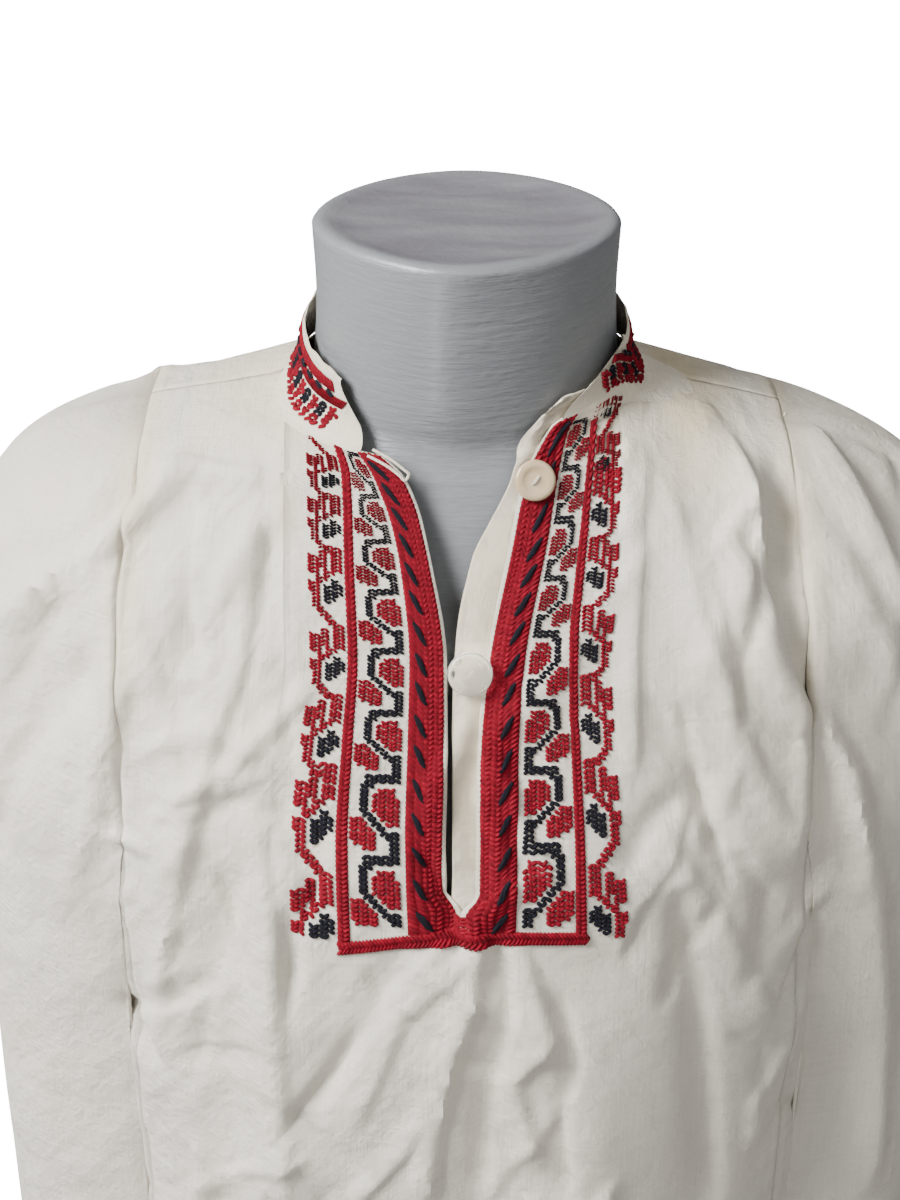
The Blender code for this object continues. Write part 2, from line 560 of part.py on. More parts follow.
def button(name, x, z, radius, rim, under, finish):
    """A turned button with two thread holes, lying on the front panel with what is under it there."""
    half, rim_top = BUTTON_HALF_WALL, BUTTON_HALF_WALL + rim
    profile = [
        (0, half), (radius * 0.55, half), (radius * 0.70, rim_top), (radius * 0.88, rim_top),
        (radius, 0.9 * half), (radius * 0.97, -0.25 * half), (radius * 0.80, -half), (0, -half),
    ]  # fmt: skip
    mesh = bpy.data.meshes.new(name)
    mesh.from_pydata([(r, 0, h) for r, h in profile], [(k, k + 1) for k in range(len(profile) - 1)], [])
    obj = add_object(name, mesh, finish)
    turned = obj.modifiers.new("turned", "SCREW")
    turned.steps = turned.render_steps = 20
    turned.use_merge_vertices = True
    turned.merge_threshold = 0.00005
    holes = bpy.data.meshes.new(f"{name}_holes")
    cutter = bmesh.new()
    for offset in (-2 * THREAD_HOLE_RADIUS, 2 * THREAD_HOLE_RADIUS):
        made = bmesh.ops.create_cone(
            cutter, cap_ends=True, segments=8,
            radius1=THREAD_HOLE_RADIUS, radius2=THREAD_HOLE_RADIUS, depth=8 * BUTTON_HALF_WALL,
        )  # fmt: skip
        bmesh.ops.translate(cutter, verts=made["verts"], vec=(offset, offset * 0.8, 0))
    cutter.to_mesh(holes)
    cutter.free()
    cutter_object = bpy.data.objects.new(f"{name}_holes", holes)
    cutter_collection.objects.link(cutter_object)
    cutter_object.hide_render = True
    cutter_object.display_type = "WIRE"
    drill = obj.modifiers.new("thread holes", "BOOLEAN")
    drill.operation = "DIFFERENCE"
    drill.object = cutter_object
    at, normal = surface_frame(x, z)
    face = at + normal * (CLOTH_WALL / 2 + under + SEAM_GAP + BUTTON_HALF_WALL)
    tilt = np.arctan2(-normal[2], np.hypot(normal[0], normal[1]))
    for placed in (obj, cutter_object):
        placed.location = face
        placed.rotation_euler = (np.pi / 2 + tilt, 0, np.arctan2(normal[0], -normal[1]))


def button_loop(finish):
    """A narrow tape loop along the wearer's right edge, just under the collar."""
    z = np.linspace(0.7985, 0.7895, 5)
    edge = read_table(RIGHT_EDGES, "slit", z)
    paths = []
    for clear in (0.0018, 0.0050):
        x = -(edge - clear)
        paths.append(np.stack([x, body_y(SHIRT_SLICES, x, z, FRONT), z], axis=-1))
    tip = (paths[0][-1] + paths[1][-1]) / 2 + np.array([0.0022, -0.0008, -0.0016])
    points = [*paths[0], tip, *paths[1][::-1]]
    curve = bpy.data.curves.new("button_loop", "CURVE")
    curve.dimensions = "3D"
    curve.bevel_depth = LOOP_TAPE_RADIUS
    curve.bevel_resolution = 1
    curve.use_fill_caps = True
    spline = curve.splines.new("POLY")
    spline.points.add(len(points) - 1)
    for spot, point in zip(spline.points, points):
        spot.co = (*point, 1)
    curve.materials.append(finish)
    shirt_collection.objects.link(bpy.data.objects.new("button_loop", curve))


def dress_form(finish):
    """The smooth torso that the shirt stands on: a loft through its rings, with a faint crest on the neck."""
    turn = np.linspace(0, 2 * np.pi, 36, endpoint=False)
    rings = []
    for ring in FORM_RINGS:
        x, y = round_slice(ring, turn)
        on_neck = (y < ring.centre_y) * fade((ring.z - 0.79) / 0.03)
        crest = NECK_CREST.stands_out * on_neck * np.exp(-(((x - NECK_CREST.x) / NECK_CREST.half_width) ** 2))
        rings.append(np.stack([x, y - crest, np.full_like(x, ring.z)], axis=-1))
    body = bmesh.new()
    loops = [[body.verts.new(point) for point in ring] for ring in rings]
    for low, high in zip(loops, loops[1:]):
        for k in range(len(turn)):
            after = (k + 1) % len(turn)
            body.faces.new((low[k], low[after], high[after], high[k]))
    body.faces.new(loops[0][::-1])
    body.faces.new(loops[-1])
    mesh = bpy.data.meshes.new("dress_form")
    body.to_mesh(mesh)
    body.free()
    add_object("dress_form", mesh, finish)


for old in list(bpy.data.objects):
    bpy.data.objects.remove(old)
shirt_collection = bpy.data.collections.new("embroidered_shirt_on_dress_form")
cutter_collection = bpy.data.collections.new("cutters")
for collection in (shirt_collection, cutter_collection):
    bpy.context.scene.collection.children.link(collection)

cotton_pieces = [
    "front", "back", "right_sleeve", "left_sleeve", "right_side", "left_side", "collar", "facing", "loop",
]  # fmt: skip
cotton = {name: material(f"{name}_cotton", (0.76, 0.73, 0.66), 0.9) for name in cotton_pieces}
dress_form(material("grey_plastic", (0.27, 0.28, 0.29), 0.42))
front = front_halves()
cloth_wall("front_panel", cotton["front"], CLOTH_WALL, *front.values())
back_panel(cotton["back"])
for wearer_side in (RIGHT, LEFT):
    side_panel(wearer_side, cotton[f"{SIDE_NAMES[wearer_side]}_side"])
    sleeve(wearer_side, cotton[f"{SIDE_NAMES[wearer_side]}_sleeve"])
collar_band(cotton["collar"])
slit_facing(cotton["facing"])
stitched_bands(front, material("red_thread", (0.55, 0.01, 0.03), 0.7))
pearl = material("pearl_plastic", (0.72, 0.66, 0.50), 0.25)
clear = material("clear_plastic", (0.85, 0.85, 0.82), 0.1, Transmission_Weight=0.9)
button("collar_button", 0.0280, 0.7890, BUTTON_RADIUS, 0.0005, SEAM_GAP + STITCH_WALL, pearl)
button("slit_button", 0.0014, 0.7170, BUTTON_RADIUS + 0.0008, 0.0006, SEAM_GAP + STITCH_WALL, clear)
button_loop(cotton["loop"])
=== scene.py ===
import bmesh
import bpy
import numpy as np
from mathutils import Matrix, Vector


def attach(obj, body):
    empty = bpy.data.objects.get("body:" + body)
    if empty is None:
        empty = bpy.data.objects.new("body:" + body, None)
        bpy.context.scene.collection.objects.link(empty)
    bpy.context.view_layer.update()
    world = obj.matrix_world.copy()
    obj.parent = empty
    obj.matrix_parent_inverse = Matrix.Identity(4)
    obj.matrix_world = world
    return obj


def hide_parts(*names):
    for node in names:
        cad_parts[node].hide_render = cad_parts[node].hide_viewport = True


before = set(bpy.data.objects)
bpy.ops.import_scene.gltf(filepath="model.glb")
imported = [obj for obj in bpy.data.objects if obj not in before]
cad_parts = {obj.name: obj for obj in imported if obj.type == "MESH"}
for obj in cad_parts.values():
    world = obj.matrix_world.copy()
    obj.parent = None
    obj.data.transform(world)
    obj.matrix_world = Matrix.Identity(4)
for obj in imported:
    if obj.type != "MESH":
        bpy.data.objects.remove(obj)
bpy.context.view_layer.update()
dice = np.random.default_rng(11)
right, left, toFront, toBack = -1, 1, -1, 1
sideName = {right: "right", left: "left"}

# The cut and the sizes that every cloth piece shares
shirt = {
    "wall": 0.0010,
    "seamGap": 0.0003,
    "panelHalf": 0.150,
    "necklineZ": 0.8065,
    "necklineSlope": 0.15,
    "slitFootZ": 0.622,
    "slitTipZ": 0.6150,
    "slitMiddleX": -0.0021,
    "underarmZ": 0.625,
    "hemZ": 0.062,
}
# z, half width, half depth, centre front to back, squareness
shirtSlices = np.array([
    [0.062, 0.1990, 0.1450, 0.0010, 2.3], [0.200, 0.1920, 0.1430, 0.0000, 2.3],
    [0.300, 0.1860, 0.1410, -0.0020, 2.3], [0.380, 0.1820, 0.1390, -0.0040, 2.3],
    [0.440, 0.1815, 0.1380, -0.0050, 2.3], [0.500, 0.1835, 0.1355, -0.0060, 2.3],
    [0.540, 0.1860, 0.1335, -0.0060, 2.3], [0.580, 0.1900, 0.1305, -0.0045, 2.3],
    [0.625, 0.1960, 0.1270, -0.0030, 2.3], [0.660, 0.2080, 0.1210, 0.0015, 2.3],
    [0.700, 0.2170, 0.1125, 0.0065, 2.2], [0.720, 0.2185, 0.1070, 0.0090, 2.2],
    [0.737, 0.2170, 0.1020, 0.0110, 2.1], [0.750, 0.2140, 0.0975, 0.0125, 2.0],
    [0.761, 0.2080, 0.0925, 0.0135, 1.9], [0.769, 0.2000, 0.0890, 0.0140, 1.8],
    [0.775, 0.1900, 0.0855, 0.0145, 1.8], [0.779, 0.1800, 0.0835, 0.0145, 1.8],
    [0.784, 0.1650, 0.0810, 0.0140, 1.8], [0.788, 0.1500, 0.0790, 0.0135, 1.8],
    [0.792, 0.1350, 0.0770, 0.0130, 1.8], [0.796, 0.1200, 0.0755, 0.0125, 1.8],
    [0.801, 0.1000, 0.0735, 0.0115, 1.8], [0.8075, 0.0785, 0.0705, 0.0100, 1.9],
    [0.825, 0.0705, 0.0670, 0.0075, 2.0], [0.850, 0.0690, 0.0655, 0.0060, 2.0],
])  # fmt: skip
sleeveSlices = np.concatenate([
    [[0.245, 0.2420, 0.1300, -0.0030, 2.3], [0.500, 0.2405, 0.1300, -0.0030, 2.3]],
    [[0.625, 0.2335, 0.1270, -0.0030, 2.3], [0.660, 0.2315, 0.1215, 0.0015, 2.3]],
    [[0.700, 0.2275, 0.1125, 0.0065, 2.2], [0.720, 0.2250, 0.1070, 0.0090, 2.2]],
    [[0.737, 0.2215, 0.1020, 0.0110, 2.1], [0.750, 0.2160, 0.0975, 0.0125, 2.0]],
    shirtSlices[shirtSlices[:, 0] >= 0.761],
])  # fmt: skip
formSlices = np.array([
    [0.000, 0.1640, 0.1070, 0.0000, 2.3], [0.006, 0.1670, 0.1100, 0.0000, 2.3],
    [0.100, 0.1730, 0.1150, 0.0010, 2.3], [0.200, 0.1740, 0.1180, 0.0020, 2.3],
    [0.300, 0.1600, 0.1080, 0.0000, 2.3], [0.380, 0.1460, 0.1030, -0.0020, 2.3],
    [0.440, 0.1500, 0.1090, -0.0030, 2.3], [0.500, 0.1600, 0.1160, -0.0040, 2.3],
    [0.550, 0.1700, 0.1190, -0.0050, 2.3], [0.620, 0.1850, 0.1140, -0.0030, 2.3],
    [0.660, 0.1930, 0.1070, 0.0010, 2.3], [0.700, 0.1980, 0.0980, 0.0050, 2.2],
    [0.730, 0.1975, 0.0900, 0.0090, 2.1], [0.745, 0.1950, 0.0860, 0.0110, 2.0],
    [0.757, 0.1900, 0.0825, 0.0125, 1.9], [0.768, 0.1810, 0.0790, 0.0135, 1.8],
    [0.778, 0.1660, 0.0750, 0.0138, 1.8], [0.785, 0.1515, 0.0715, 0.0135, 1.8],
    [0.7897, 0.1350, 0.0685, 0.0130, 1.8], [0.7935, 0.1195, 0.0665, 0.0125, 1.8],
    [0.7978, 0.0990, 0.0645, 0.0115, 1.8], [0.8040, 0.0750, 0.0630, 0.0100, 1.9],
    [0.820, 0.0665, 0.0615, 0.0080, 2.0], [0.850, 0.0645, 0.0595, 0.0050, 2.0],
    [0.8775, 0.0655, 0.0605, 0.0050, 1.85],
])  # fmt: skip
seamLine = np.array([
    [0.062, 0.156], [0.540, 0.154], [0.620, 0.152], [0.700, 0.149], [0.760, 0.144], [0.800, 0.139],
])  # fmt: skip
# z, then how far the slit's edge, the plait, the frame line and the outer edge are from the centre
bandEdges = {
    right: np.array([
        [0.605, 0.0082, 0.0252, 0.0504, 0.0770], [0.645, 0.0088, 0.0262, 0.0508, 0.0755],
        [0.690, 0.0080, 0.0248, 0.0480, 0.0700], [0.722, 0.0083, 0.0240, 0.0458, 0.0660],
        [0.760, 0.0149, 0.0282, 0.0473, 0.0667], [0.789, 0.0250, 0.0385, 0.0485, 0.0672],
        [0.803, 0.0430, 0.0500, 0.0545, 0.0680],
    ]),
    left: np.array([
        [0.605, 0.0040, 0.0215, 0.0476, 0.0706], [0.645, 0.0043, 0.0218, 0.0464, 0.0670],
        [0.690, 0.0050, 0.0220, 0.0440, 0.0625], [0.722, 0.0085, 0.0244, 0.0427, 0.0608],
        [0.760, 0.0165, 0.0322, 0.0460, 0.0637], [0.789, 0.0250, 0.0400, 0.0510, 0.0645],
        [0.803, 0.0430, 0.0500, 0.0550, 0.0665],
    ]),
}  # fmt: skip
# Cloth distances from the slit's edge to the plait, the frame line, the outer edge and the seam
bandKnots = [0, 0.0188, 0.0427, 0.0675, shirt["panelHalf"]]
facingEdge = np.array([
    [0.606, -0.0060], [0.700, -0.0060], [0.730, -0.0045], [0.760, 0.0020], [0.789, 0.0186],
    [0.796, 0.0210], [0.8005, 0.0225], [0.8030, 0.0250], [0.8050, 0.0320], [0.8070, 0.0400],
])  # fmt: skip
# z, middle of the hanging sleeve's outer layer, of its inner layer and x of its front edge (each on the right
# and on the left), then x and y of its back edge
sleeveLevels = np.array([
    [0.245, 0.2420, 0.2090, 0.2090, 0.1600, 0.1640, 0.2000, 0.0740],
    [0.325, 0.2420, 0.2060, 0.2070, 0.1600, 0.1640, 0.1960, 0.0750],
    [0.400, 0.2412, 0.2045, 0.2055, 0.1600, 0.1640, 0.1930, 0.0760],
    [0.470, 0.2402, 0.2020, 0.2030, 0.1600, 0.1640, 0.1900, 0.0770],
    [0.531, 0.2360, 0.1990, 0.2000, 0.1590, 0.1620, 0.1860, 0.0780],
    [0.577, 0.2345, 0.1985, 0.1985, 0.1575, 0.1590, 0.1780, 0.0800],
    [0.600, 0.2340, 0.1985, 0.1985, 0.1560, 0.1570, 0.1690, 0.0840],
    [0.612, 0.2335, 0.1980, 0.1980, 0.1550, 0.1550, 0.1610, 0.0880],
])
# Large folds of the body: face, top x and z, low x and z, half width, how far it stands out
bodyFolds = [
    (toFront, -0.084, 0.690, -0.094, 0.062, 0.016, 0.0045),
    (toFront, -0.104, 0.700, -0.132, 0.062, 0.015, -0.0045),
    (toFront, 0.010, 0.590, 0.002, 0.062, 0.020, -0.0050),
    (toFront, 0.056, 0.590, 0.070, 0.062, 0.018, 0.0045),
    (toFront, 0.096, 0.720, 0.118, 0.300, 0.016, -0.0035),
    (toFront, 0.096, 0.775, 0.148, 0.685, 0.013, 0.0030),
    (toFront, -0.106, 0.775, -0.150, 0.700, 0.013, 0.0030),
    (toBack, -0.070, 0.700, -0.082, 0.062, 0.018, -0.0050),
    (toBack, 0.006, 0.660, -0.010, 0.062, 0.020, 0.0050),
    (toBack, 0.078, 0.710, 0.090, 0.062, 0.018, -0.0050),
]
# Large folds of a sleeve's outer layer: top share and z, low share and z, half width, how far it stands out
sleeveFolds = [
    (0.08, 0.730, 0.30, 0.590, 0.075, -0.0040), (0.22, 0.745, 0.46, 0.540, 0.080, 0.0040),
    (0.52, 0.620, 0.58, 0.245, 0.080, -0.0040), (0.92, 0.730, 0.70, 0.580, 0.075, -0.0040),
    (0.30, 0.480, 0.26, 0.245, 0.080, 0.0035),
]  # fmt: skip


def smoothRead(places, values, at):
    # Monotone cubic through the table's points, held level beyond its ends.
    at = np.clip(at, places[0], places[-1])
    gap = np.diff(places)
    rise = np.diff(values) / gap
    sameWay = rise[:-1] * rise[1:] > 0
    before, after = np.where(sameWay, rise[:-1], 1), np.where(sameWay, rise[1:], 1)
    weightBefore, weightAfter = 2 * gap[1:] + gap[:-1], gap[1:] + 2 * gap[:-1]
    mean = (weightBefore + weightAfter) / (weightBefore / before + weightAfter / after)
    slope = np.concatenate([rise[:1], np.where(sameWay, mean, 0), rise[-1:]])
    k = np.clip(np.searchsorted(places, at, side="right") - 1, 0, len(gap) - 1)
    t = (at - places[k]) / gap[k]
    ends = values[k] * (1 + 2 * t) * (1 - t) ** 2 + values[k + 1] * t * t * (3 - 2 * t)
    return ends + gap[k] * t * (1 - t) * (slope[k] * (1 - t) - slope[k + 1] * t)


def readColumn(table, column, z):
    return smoothRead(table[:, 0], table[:, column], z)


def readSlice(table, z):
    # Half width, half depth, centre and squareness of the slice at z.
    return (readColumn(table, column, z) for column in range(1, 5))


def fade(t):
    # Smooth step: 0 at t = 0, 1 at t = 1.
    t = np.clip(t, 0, 1)
    return t * t * (3 - 2 * t)


def ramp(value, start, over):
    # Smooth step from 0 at start to 1 at start + over.
    return fade((value - start) / over)


def bell(value, middle, halfWidth):
    return np.exp(-(((value - middle) / halfWidth) ** 2))


def lengthsAlong(points):
    # Distance travelled down each column of points.
    steps = np.linalg.norm(np.diff(points, axis=0), axis=-1)
    return np.concatenate([0 * steps[:1], np.cumsum(steps, axis=0)])


def readColumns(at, length, points):
    # Each column of points read at its own distances.
    columns = [
        np.stack([np.interp(at[:, k], length[:, k], points[:, k, axis]) for axis in range(3)], axis=-1)
        for k in range(points.shape[1])
    ]
    return np.stack(columns, axis=1)


def foldOut(x, z, face):
    # A fold is a bell across a slanted line, faded at its two ends and at the side of the body.
    out = 0 * x * z
    for foldFace, topX, topZ, lowX, lowZ, halfWidth, depth in bodyFolds:
        if foldFace == face:
            along = (topZ - z) / (topZ - lowZ)
            ends = fade(along * 4) * (1 - fade((along - 1) * 12))
            out = out + depth * ends * bell(x, topX + (lowX - topX) * along, halfWidth)
    return out * (1 - fade((np.abs(x) - 0.142) / 0.012))


def bodyY(x, z, face):
    # The slice is a superellipse: |x/a|^n + |y/b|^n = 1, read at x, with the folds added outwards.
    halfWidth, halfDepth, centreY, power = readSlice(shirtSlices, z)
    leftOver = np.clip(1 - (np.abs(x) / halfWidth) ** power, 0, None)
    return centreY + face * (halfDepth * leftOver ** (1 / power) + foldOut(x, z, face))


def roundSlice(table, z, turn):
    # x and y of the superellipse at angles round its centre.
    halfWidth, halfDepth, centreY, power = readSlice(table, z)
    across, deep = (np.abs(part) ** power for part in (np.cos(turn) / halfWidth, np.sin(turn) / halfDepth))
    radius = (across + deep) ** (-1 / power)
    return radius * np.cos(turn), centreY + radius * np.sin(turn)


def seamX(z):
    return readColumn(seamLine, 1, z)


def frontX(p, z, side):
    # The cloth distance p from the slit's edge is stretched between the bands' edges, each a function of z.
    # Under the slit the two edges close on its middle line.
    open_ = np.clip((z - shirt["slitTipZ"]) / (shirt["slitFootZ"] - shirt["slitTipZ"]), 0, 1)
    table = bandEdges[side]
    start = side * shirt["slitMiddleX"] * (1 - open_) + readColumn(table, 1, z) * open_
    places = [start, *[readColumn(table, k, z) for k in (2, 3, 4)], seamX(z)]
    x = start
    for k in range(4):
        share = np.clip((p - bandKnots[k]) / (bandKnots[k + 1] - bandKnots[k]), 0, 1.02 if k == 3 else 1)
        x = x + share * (places[k + 1] - places[k])
    return x


def panelX(p, z, side, face):
    return frontX(p, z, side) if face == toFront else p * seamX(z) / shirt["panelHalf"]


def panelTop(p, side, face):
    # Halving search for the level at which a column ends: at the neckline or on the shoulder's ridge.
    low, high = np.full(p.shape, 0.70), np.full(p.shape, 0.84)
    for _ in range(40):
        middle = (low + high) / 2
        x = panelX(p, middle, side, face)
        underNeck = shirt["necklineZ"] + shirt["necklineSlope"] * bodyY(x, middle, face) - middle
        underNeck = underNeck + 0.0008 * ramp(x, 0.074, 0.004)
        inside = np.minimum(underNeck, readColumn(shirtSlices, 1, middle) - x) > 0
        low, high = np.where(inside, middle, low), np.where(inside, high, middle)
    return low


# Columns beside the neck: how near the ridge counts as on it, the share of the length up to which rows keep
# level, the distance after which rows are even again, and how far the last column keeps from the neck's side
beside = {"nearRidge": 0.0003, "spreadShare": 0.92, "evenAgain": 0.045, "clear": 0.0002}


def onRidge(p, top, side, face):
    return readColumn(shirtSlices, 1, top) - panelX(p, top, side, face) < beside["nearRidge"]


def neckSide(side):
    # The cloth distance beyond which the front's columns pass beside the neck.
    p = np.linspace(bandKnots[3], 0.12, 4001)
    return p[np.argmax(onRidge(p, panelTop(p, side, toFront), side, toFront))]


def panelHalf(side, face, p, topShares, lowZ, rowsZ):
    # One half panel as a grid of points: rows downwards at equal steps of cloth, columns at distances p.
    low = panelTop(p, side, face)
    z = low - (low - lowZ) * np.linspace(0, 1, 400)[:, None] ** 2
    x = side * panelX(p + 0 * z, z, side, face)
    points = np.stack([x, bodyY(x, z, face), z], axis=-1)
    length = lengthsAlong(points)
    # Beside the neck the columns are suddenly longer: there the rows keep level and only the topmost spread.
    total = length[-1]
    last = max(np.argmax(onRidge(p, low, side, face)) - 1, 0)
    up = (1 - topShares)[:, None]
    bend = beside["spreadShare"] * total[last]
    level = up * total[last]
    level = np.where(level < bend, level, bend + (level - bend) * (total - bend) / (total[last] - bend))
    weight = np.where(np.arange(len(p)) > last, ramp(p, p[last], beside["evenAgain"]), 1)
    top = readColumns(total - level * (1 - weight) - up * total * weight, length, points)
    z = np.asarray(rowsZ)[:, None] + 0 * p
    x = side * panelX(p + 0 * z, z, side, face)
    return np.concatenate([top, np.stack([x, bodyY(x, z, face), z], axis=-1)])


def gridNormals(grid):
    # Cross product of the grid's two directions, turned away from the shirt's upright axis.
    normal = np.cross(np.gradient(grid, axis=0), np.gradient(grid, axis=1))
    normal /= np.linalg.norm(normal, axis=-1, keepdims=True) + 1e-12
    return normal if (normal * (grid * [1, 1, 0])).sum() > 0 else -normal


def between(grid, times, axis):
    # More rows between a grid's rows: a cubic through each row and its neighbours.
    grid = np.moveaxis(grid, axis, 0)
    at = np.linspace(0, len(grid) - 1, (len(grid) - 1) * times + 1)
    k = np.minimum(at.astype(int), len(grid) - 2)
    t = (at - k)[:, None, None]
    longer = np.concatenate([2 * grid[:1] - grid[1:2], grid, 2 * grid[-1:] - grid[-2:-1]])
    a, b, c, d = (longer[k + step] for step in range(4))
    finer = 0.5 * (2 * b + (c - a) * t + (2 * a - 5 * b + 4 * c - d) * t**2 + (3 * b - a - 3 * c + d) * t**3)
    return np.moveaxis(finer, 0, axis)


# Creases placed one by one. Each is a path of (x, z) on the front or (x, y, z) elsewhere, then its half
# width,
# how far it stands out, and its lean: the side towards which it drops more steeply.
creases = [
    ([(-0.087, 0.770), (-0.0957, 0.7166), (-0.1049, 0.6926), (-0.1211, 0.6362), (-0.137, 0.5653),
      (-0.1523, 0.4666)], 0.0060, 0.0020, 0.5),
    ([(-0.0812, 0.7978), (-0.0838, 0.7841), (-0.0861, 0.7704), (-0.0801, 0.7569)], 0.0050, -0.0009, -0.3),
    ([(-0.0817, 0.7483), (-0.0786, 0.7182), (-0.0741, 0.676), (-0.0779, 0.6588)], 0.0055, -0.0009, 0.3),
    ([(-0.082, 0.6267), (-0.0859, 0.5653), (-0.0848, 0.4976), (-0.0848, 0.4537)], 0.0070, 0.0016, 0.4),
    ([(-0.1181, 0.7824), (-0.1417, 0.7602), (-0.1621, -0.0564, 0.7423), (-0.1865, -0.0502, 0.7236),
      (-0.2093, -0.0363, 0.6997)], 0.0085, 0.0032, 0.5),
    ([(-0.1316, 0.7803), (-0.1576, -0.0507, 0.7539), (-0.1813, -0.0472, 0.737),
      (-0.2079, -0.0333, 0.7178)], 0.0060, -0.0026, 0.3),
    ([(-0.1316, 0.7803), (-0.1049, 0.7842), (-0.0767, 0.7853)], 0.0045, 0.0016, 0.4),
    ([(-0.1088, 0.7746), (-0.0849, 0.7722)], 0.0040, -0.0012, 0.0),
    ([(-0.1482, -0.0591, 0.7488), (-0.1504, -0.0828, 0.6927), (-0.1619, -0.0869, 0.6425),
      (-0.1793, -0.0719, 0.5741)], 0.0075, 0.0030, 0.4),
    ([(-0.1165, 0.7697), (-0.1178, 0.7305), (-0.113, 0.7148)], 0.0045, -0.0018, 0.4),
    ([(-0.1500, 0.6706), (-0.1102, 0.6901), (-0.0724, 0.6761)], 0.0050, 0.0014, 0.5),
    ([(-0.1582, -0.0745, 0.7058), (-0.1886, -0.0645, 0.6614),
      (-0.2170, -0.045, 0.592)], 0.0090, -0.0022, 0.4),
    ([(0.1036, 0.7983), (0.1181, 0.7746), (0.1243, 0.7417), (0.1436, 0.6961), (0.169, -0.0821, 0.6521),
      (0.1862, -0.0728, 0.5866), (0.2034, -0.0640, 0.4845), (0.2113, -0.0600, 0.3853)], 0.0080, 0.0036, 0.5),
    ([(0.1284, 0.791), (0.1393, 0.7637), (0.1424, 0.7263), (0.1523, -0.087, 0.6726),
      (0.1742, -0.0812, 0.6104)], 0.0070, -0.0030, 0.4),
    ([(0.1511, -0.0042, 0.7867), (0.1729, -0.0368, 0.7601), (0.188, -0.0474, 0.727)], 0.0070, 0.0026, 0.5),
    ([(0.0738, 0.7923), (0.0694, 0.7279), (0.0703, 0.6762)], 0.0045, 0.0014, 0.4),
    ([(0.108, 0.7962), (0.1188, 0.759), (0.1351, 0.7237), (0.1503, -0.085, 0.6838),
      (0.1707, -0.082, 0.6443)], 0.0055, -0.0022, 0.4),
    ([(0.0934, 0.6122), (0.1058, 0.5545), (0.1196, 0.4306)], 0.0070, -0.0022, 0.4),
    ([(0.006, 0.6005), (0.0027, 0.5703), (-0.0079, 0.5348), (-0.0152, 0.4878),
      (-0.0172, 0.4591)], 0.0055, 0.0024, 0.5),
    ([(0.0234, 0.5951), (0.0383, 0.5483), (0.0209, 0.5249), (0.0326, 0.4776)], 0.0055, 0.0018, 0.4),
    ([(0.0415, 0.5692), (0.0494, 0.5342), (0.043, 0.5028), (0.0469, 0.4598)], 0.0050, -0.0016, 0.4),
    ([(0.0147, 0.5964), (0.0186, 0.5647), (0.011, 0.5249), (0.007, 0.4561)], 0.0050, -0.0018, 0.4),
    ([(-0.158, 0.768), (-0.180, 0.735), (-0.205, 0.690)], 0.0080, 0.0014, 0.4),
    ([(-0.165, 0.742), (-0.192, 0.700), (-0.214, 0.655)], 0.0080, -0.0013, 0.3),
    ([(-0.160, 0.700), (-0.180, 0.655), (-0.196, 0.610)], 0.0080, 0.0013, -0.3),
    ([(-0.185, 0.690), (-0.206, 0.640), (-0.222, 0.590)], 0.0080, -0.0011, 0.3),
    ([(-0.170, 0.660), (-0.176, 0.620), (-0.190, 0.570)], 0.0085, -0.0012, 0.3),
    ([(0.160, 0.762), (0.184, 0.728), (0.206, 0.684)], 0.0080, -0.0013, 0.3),
    ([(0.170, 0.735), (0.196, 0.690), (0.214, 0.640)], 0.0085, 0.0014, 0.4),
    ([(0.158, 0.700), (0.176, 0.650), (0.200, 0.600)], 0.0080, -0.0012, -0.3),
    ([(0.190, 0.700), (0.208, 0.650), (0.220, 0.600)], 0.0080, 0.0011, 0.3),
    ([(-0.142, 0.735), (-0.128, 0.690), (-0.120, 0.640)], 0.0055, 0.0012, 0.3),
    ([(-0.135, 0.648), (-0.100, 0.660), (-0.074, 0.652)], 0.0050, -0.0010, 0.3),
    ([(-0.118, 0.760), (-0.104, 0.735), (-0.100, 0.700)], 0.0050, -0.0010, 0.3),
    ([(-0.100, 0.620), (-0.112, 0.570), (-0.128, 0.500)], 0.0065, -0.0014, 0.3),
    ([(0.085, 0.780), (0.098, 0.730), (0.118, 0.680), (0.148, 0.620)], 0.0060, 0.0014, 0.4),
    ([(0.080, 0.700), (0.100, 0.660), (0.135, 0.600)], 0.0060, -0.0013, 0.3),
    ([(0.085, 0.640), (0.110, 0.600), (0.140, 0.530)], 0.0070, 0.0014, 0.4),
    ([(0.002, 0.596), (-0.030, 0.560), (-0.050, 0.500)], 0.0060, 0.0012, 0.4),
    ([(-0.030, 0.590), (-0.045, 0.555), (-0.070, 0.500)], 0.0060, -0.0012, 0.3),
]  # fmt: skip


def frontY(x, z):
    # y of the front at x: the body's, or the sleeve's beyond the armhole.
    if abs(x) < 0.15:
        return float(bodyY(x, z, toFront))
    halfWidth, halfDepth, centreY, power = readSlice(sleeveSlices, z)
    return centreY - halfDepth * (1 - (abs(x) / halfWidth) ** power) ** (1 / power)


def creasePath(path):
    return np.array([step if len(step) == 3 else (step[0], frontY(*step), step[1]) for step in path])


